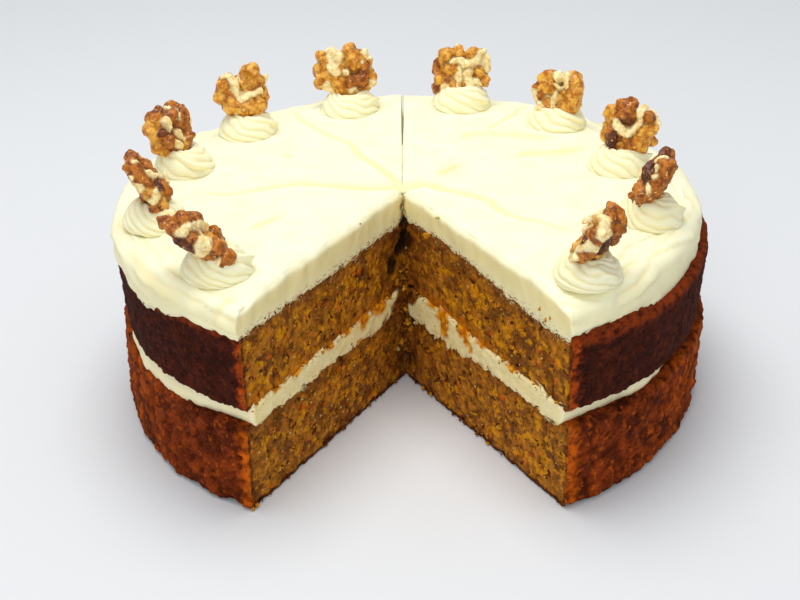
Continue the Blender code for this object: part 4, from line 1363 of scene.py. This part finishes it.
def walnut(node, portion, sights, seed, paint):
    turn, middle, half = walnut_frame(portion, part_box(node.replace("walnut", "swirl"))[0].z)
    core = body_lobes(half)
    lobes = core + plain_ridges(half, portion[6], turn.T @ FRONT[2], seed) + sight_lobes(sights, turn, half)
    places, quads = one_skin(lobes, 0.42 * MM)
    places = relaxed(places, quads, 5)
    no_tris = np.zeros((0, 3), int)
    smooth = relaxed(places, quads, 8)
    normals = face_normals(places, quads, no_tris)
    # Painted shade and light: low in creases, dips and grooves, high on crests.
    ridge_shade = np.einsum("ij,ij->i", places - smooth, normals) / (0.35 * MM)
    best = np.full(len(places), 99.0)
    kinds = np.zeros(len(places), int)
    wander = 0.14 * lumps(places, 1.3 * MM, seed) + 0.10 * lumps(places, 0.6 * MM, seed + 1)
    for kind, place, size in lobes[len(core):]:
        gap = np.linalg.norm((places - place) / size, axis=1) + wander
        if kind == FLESH:
            gap += 0.10
        closer = gap < best
        best = np.where(closer, gap, best)
        kinds = np.where(closer, kind, kinds)
    shares = np.stack([kinds == FLESH, kinds == AMBER, kinds == DARK], axis=1) * 1.0
    shares = relaxed(shares, quads, 1)
    fold = np.abs(lumps(places, 2.8 * MM, seed + 5) + 0.25 * lumps(places, 1.1 * MM, seed + 6))
    groove = ease_between(fold, 0.14, 0.02) * (1 - 0.7 * shares[:, 0])
    relief = 0.45 * MM * lumps(places, 2.6 * MM, seed + 3) + 0.26 * MM * lumps(places, 1.1 * MM, seed + 4)
    relief -= 0.35 * MM * groove
    bent = np.stack([lumps(places, 4.2 * MM, seed + 7 + axis) for axis in range(3)], axis=1)
    places = (places + normals * relief[:, None] + 0.9 * MM * bent) @ turn.T + middle
    values = {
        "flesh": shares[:, 0],
        "amber": shares[:, 1],
        "dark": shares[:, 2],
        "ridge_shade": np.clip(ridge_shade * 0.5 + 0.5 - 0.15 * groove, 0, 1),
    }
    piece = mesh_piece(f"{node}_half", places, quads, no_tris, paint, values)
    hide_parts(node)


def walnut_paint():
    recipe = Recipe("walnut")
    flesh, amber, dark, ridge_shade = (recipe.value(key) for key in ("flesh", "amber", "dark", "ridge_shade"))
    blotch = recipe.step(recipe.noise(2.6 * MM, 3.0), 0.35, 0.65)
    skin = recipe.mix(blotch, tone(132, 66, 8), tone(194, 116, 28))
    honey = recipe.mix(blotch, tone(186, 110, 14), tone(234, 176, 70))
    colour = recipe.mix(amber, skin, honey)
    colour = recipe.mix(dark, colour, recipe.mix(blotch, tone(70, 30, 16), tone(120, 60, 26)))
    peeled = recipe.noise(1.5 * MM, 3.0, rough=0.6, warp=0.4)
    colour = recipe.mix(recipe.step(peeled, 0.64, 0.68), colour, tone(234, 190, 120))
    cream = recipe.mix(recipe.step(recipe.noise(1.6 * MM, 2.0), 0.4, 0.7), tone(248, 230, 176), tone(228, 190, 116))
    colour = recipe.mix(flesh, colour, cream)
    # Painted shade in creases and grooves, and a painted highlight on crests.
    colour = recipe.shade(colour, recipe.step(ridge_shade, 0.10, 0.60), 0.36, 1.10)
    veins = recipe.noise(0.5 * MM, 3.0, rough=0.6)
    colour = recipe.shade(colour, recipe.step(veins, 0.30, 0.6), 0.80, 1.05)
    rough = recipe.mix(flesh, (0.26, 0.26, 0.26, 1), (0.55, 0.55, 0.55, 1))
    bumps = ((recipe.noise(1.2 * MM, 2.0), 0.22 * MM), (veins, 0.05 * MM))
    shader = recipe.shader
    shader.inputs["Subsurface Weight"].default_value = 0.12
    shader.inputs["Subsurface Radius"].default_value = (1.0, 0.55, 0.25)
    shader.inputs["Subsurface Scale"].default_value = 1.5 * MM
    return recipe.finish(colour, rough, bumps, 0.35)


def portions():
    cream = cream_paint("swirl_cream", tone(252, 249, 216), tone(244, 228, 160), 0.25)
    nut = walnut_paint()
    for number, (portion, sights) in enumerate(zip(PORTIONS, WALNUT_SIGHTS), start=1):
        swirl(f"swirl_{number:02d}", portion, number, cream)
        walnut(f"walnut_{number:02d}", portion, sights, number * 7, nut)


# ---- crumbs -------------------------------------------------------------------------------------------------
# Rubble hanging in the crack where the cuts meet: millimetres across, towards the viewer and up, radius,
# and kind, where 0 is brown crumb, 1 is golden crumb and 2 is cream.
TIP_RUBBLE = (
    (-1.2, 0.4, 78.5, 1.0, 2), (1.2, 0.6, 79.5, 1.1, 2), (0.2, -0.3, 76.5, 0.9, 2), (-1.6, 1.0, 74.5, 0.9, 2),
    (1.8, 0.8, 75.0, 1.0, 2), (-2.4, 1.4, 71.5, 0.9, 2), (2.6, 1.2, 72.0, 0.8, 2), (-0.6, 0.2, 73.0, 0.6, 1),
    (0.8, 0.0, 77.8, 0.6, 1), (-3.4, 1.6, 68.0, 1.2, 1), (3.6, 1.8, 67.0, 1.2, 1), (2.2, -1.5, 57.5, 1.3, 2),
    (3.4, -0.6, 54.5, 1.4, 0), (1.0, -0.8, 53.0, 1.4, 1), (-1.4, 0.2, 52.5, 1.5, 0), (-2.0, 0.8, 49.0, 1.5, 1),
    (0.4, 0.4, 49.5, 1.6, 0), (2.4, 0.8, 49.0, 1.5, 1), (-1.0, 0.8, 46.0, 1.7, 0), (1.2, 0.6, 45.0, 1.5, 0),
    (-3.0, 1.2, 44.0, 1.5, 1), (-2.2, 1.4, 40.5, 1.9, 0), (-0.2, 0.9, 41.0, 1.6, 1), (-4.0, 2.2, 38.0, 1.8, 0),
    (-1.4, 1.2, 37.0, 1.9, 0), (-3.2, 2.0, 34.0, 1.8, 1), (-0.4, 1.2, 34.5, 1.6, 0), (-1.8, 1.4, 31.0, 1.9, 0),
    (0.6, 1.0, 31.0, 1.5, 1), (-3.8, 2.0, 29.0, 1.5, 0), (4.4, 2.4, 30.5, 1.1, 2), (5.4, 3.0, 29.0, 0.9, 2),
    (-0.6, 1.2, 27.0, 1.8, 0), (1.2, 0.8, 25.5, 1.6, 1), (-2.6, 1.6, 24.5, 1.6, 0), (-3.4, 2.2, 22.0, 1.3, 2),
    (-3.2, 2.0, 19.5, 0.9, 2), (-0.6, 1.2, 22.0, 1.7, 0), (1.6, 1.0, 21.0, 1.6, 0), (3.0, 1.8, 22.5, 1.3, 1),
    (0.2, 0.9, 18.0, 1.7, 0), (-1.8, 1.4, 16.5, 1.5, 1), (2.2, 1.4, 16.5, 1.5, 0), (-0.4, 0.8, 13.5, 1.4, 0),
)


# Specks on the cut faces: 1 for the right cut or -1 for the left, then millimetres from the corner and up,
# radius, kind and how proud of the cut it lies.
CUT_SPECKS = (
    (1, 97, 74, 0.9, 1, 0.2), (1, 103, 73, 0.6, 1, 0.1), (1, 100, 71, 0.7, 1, 0.1), (1, 27, 82, 0.6, 3, 0.1),
    (1, 20, 72, 1.2, 1, 0.2), (1, 58, 60, 1.0, 1, 0.1), (1, 97, 66, 1.0, 0, 0.1), (1, 10, 29, 0.9, 2, 0.3),
    (-1, 33, 82, 0.5, 1, 0.1), (-1, 13, 34, 0.8, 2, 0.2), (-1, 6, 15, 0.8, 2, 0.3),
)


def crumb_lump(place, radius, seed):
    """One torn lump: places and triangles."""
    bm = bmesh.new()
    bmesh.ops.create_icosphere(bm, subdivisions=3 if radius > 1.3 * MM else 2, radius=1)
    ball = np.array([vert.co[:] for vert in bm.verts])
    tris = np.array([[vert.index for vert in face.verts] for face in bm.faces])
    bm.free()
    draw = np.random.default_rng(seed)
    swell = 1 + 0.45 * lumps(ball + seed * 3.7, 0.9, seed) + 0.30 * lumps(ball + seed * 1.3, 0.45, seed + 1)
    stretch = draw.uniform(0.6, 1.5, 3)
    return place + ball * swell[:, None] * stretch * radius, tris


def seam_crumbs():
    """Small crumbs along the cuts: dragged onto the frosting's and the filling's edges and at the base."""
    draw = np.random.default_rng(91)
    found = []
    seams = (
        (FROSTING_BOX[0].z, 60, 0.14, 0.40, 0.6, (0, 0, 2)),
        (FILLING_BOX[1].z, 26, 0.30, 0.70, 1.0, (0, 1, 1, 1)),
        (FILLING_BOX[0].z, 26, 0.25, 0.60, 1.2, (0, 0, 1, 2)),
        (LOWER_BOX[0].z + 0.5 * MM, 18, 0.30, 0.75, 0.3, (0, 0, 0, 1)),
    )
    for cut, side in ((RIGHT_CUT, 1), (LEFT_CUT, -1)):
        outward = -side * np.array((-math.sin(cut), math.cos(cut), 0))
        along = np.array((math.cos(cut), math.sin(cut), 0))
        for height, count, small, large, spread, kinds in seams:
            for _ in range(count):
                reach = draw.uniform(8 * MM, CAKE_RADIUS - 3 * MM)
                place = np.array((*TIP, 0)) + along * reach
                place[2] = height + draw.normal(0, spread) * MM
                if height == FROSTING_BOX[0].z:
                    place[2] += dome(place[None, :2])[0]
                radius = draw.uniform(small, large) * MM
                place += outward * (0.3 * MM + 0.1 * radius)
                place[2] = max(place[2], LOWER_BOX[0].z + radius * 0.7)
                found.append((place, radius, draw.choice(kinds)))
        for on_side, reach, height, radius, kind, proud in CUT_SPECKS:
            if on_side == side:
                place = np.array((*TIP, 0)) + along * reach * MM + outward * proud * MM
                found.append((place + np.array((0, 0, height * MM)), radius * MM, kind))
    return found


def crumbs():
    lumps_made = seam_crumbs()
    for across, toward, height, radius, kind in TIP_RUBBLE:
        lumps_made.append((np.array((TIP[0] + across * MM, TIP[1] - toward * MM, height * MM)), radius * MM, kind))
    places, tris, kinds, total = [], [], [], 0
    for number, (place, radius, kind) in enumerate(lumps_made):
        made, faces = crumb_lump(place, radius, number)
        places.append(made)
        tris.append(faces + total)
        kinds.append(np.full(len(made), kind))
        total += len(made)
    kinds = np.concatenate(kinds)
    recipe = Recipe("crumbs")
    colour = recipe.mix(recipe.step(recipe.noise(1.6 * MM, 3.0), 0.35, 0.65), tone(76, 38, 12), tone(150, 88, 26))
    golden = recipe.mix(recipe.step(recipe.noise(1.4 * MM, 3.0), 0.35, 0.65), tone(176, 104, 14), tone(222, 156, 30))
    colour = recipe.mix(recipe.value("golden"), colour, golden)
    colour = recipe.mix(recipe.value("cream"), colour, tone(190, 166, 108))
    colour = recipe.mix(recipe.value("green"), colour, tone(186, 178, 84))
    colour = recipe.shade(colour, recipe.step(recipe.noise(0.5 * MM, 2.0), 0.35, 0.6), 0.7, 1.1)
    paint = recipe.finish(colour, 0.7, ((recipe.noise(0.6 * MM, 3.0), 0.4 * MM),), 0.08)
    values = {"golden": kinds == 1, "cream": kinds == 2, "green": kinds == 3}
    places = np.concatenate(places)
    places[:, 2] = np.maximum(places[:, 2], LOWER_BOX[0].z + 0.05 * MM)
    piece = mesh_piece("loose_crumbs", places, [], np.concatenate(tris), paint, values)


# ---- floor, lights and camera -----------------------------------------------------------------------------
def stage():
    mesh = bpy.data.meshes.new("floor")
    bm = bmesh.new()
    bmesh.ops.create_circle(bm, cap_ends=True, radius=25.0, segments=96)
    bm.to_mesh(mesh)
    bm.free()
    floor = bpy.data.objects.new("floor", mesh)
    floor.location.z = CAD_LOW.z - 0.0005
    bpy.context.scene.collection.objects.link(floor)
    recipe = Recipe("floor")
    colour = recipe.mix(recipe.noise(0.4), tone(226, 228, 231), tone(223, 225, 228))
    mesh.materials.append(recipe.finish(colour, 0.6, ((recipe.noise(0.02), 0.0001),), 0.3))


def light(name, place, aim, size, power, colour):
    data = bpy.data.lights.new(name, "AREA")
    data.shape = "DISK"
    data.size = size
    data.energy = power
    data.color = colour
    lamp = bpy.data.objects.new(name, data)
    lamp.location = place
    lamp.rotation_euler = (Vector(aim) - Vector(place)).to_track_quat("-Z", "Y").to_euler()
    bpy.context.scene.collection.objects.link(lamp)


def lights():
    world = bpy.data.worlds.new("studio")
    bpy.context.scene.world = world
    world.use_nodes = True
    background = world.node_tree.nodes["Background"]
    background.inputs["Color"].default_value = (0.90, 0.93, 0.96, 1.0)
    background.inputs["Strength"].default_value = 0.54
    light("overhead", (-0.10, 0.10, 1.1), (0.0, 0.0, 0.05), 0.8, 8.2, (1.0, 0.985, 0.96))
    light("front", (-0.20, -1.3, 0.7), (0.0, 0.0, 0.04), 0.8, 5.0, (1.0, 0.99, 0.97))
    bpy.context.scene.view_settings.view_transform = "Standard"


CAMERA_PLACE = Vector((-0.04506, -4.99585, 2.87242)) * CAKE_RADIUS
CAMERA_TILT = 0.47806
CAMERA_ROLL = -0.01914
LENS = 72.0


def camera():
    """Looks along +Y and down by the tilt, turned a little about its own axis."""
    data = bpy.data.cameras.new("camera")
    data.lens = LENS
    data.sensor_width = 36.0
    data.clip_start = 0.01
    made = bpy.data.objects.new("camera", data)
    level = Matrix.Rotation(math.pi / 2 - CAMERA_TILT, 4, "X")
    made.matrix_world = Matrix.Translation(CAMERA_PLACE) @ level @ Matrix.Rotation(CAMERA_ROLL, 4, "Z")
    bpy.context.scene.collection.objects.link(made)
    bpy.context.scene.camera = made


camera()
lights()
stage()
lower_sponge()
filling()
upper_sponge()
frosting()
portions()
crumbs()
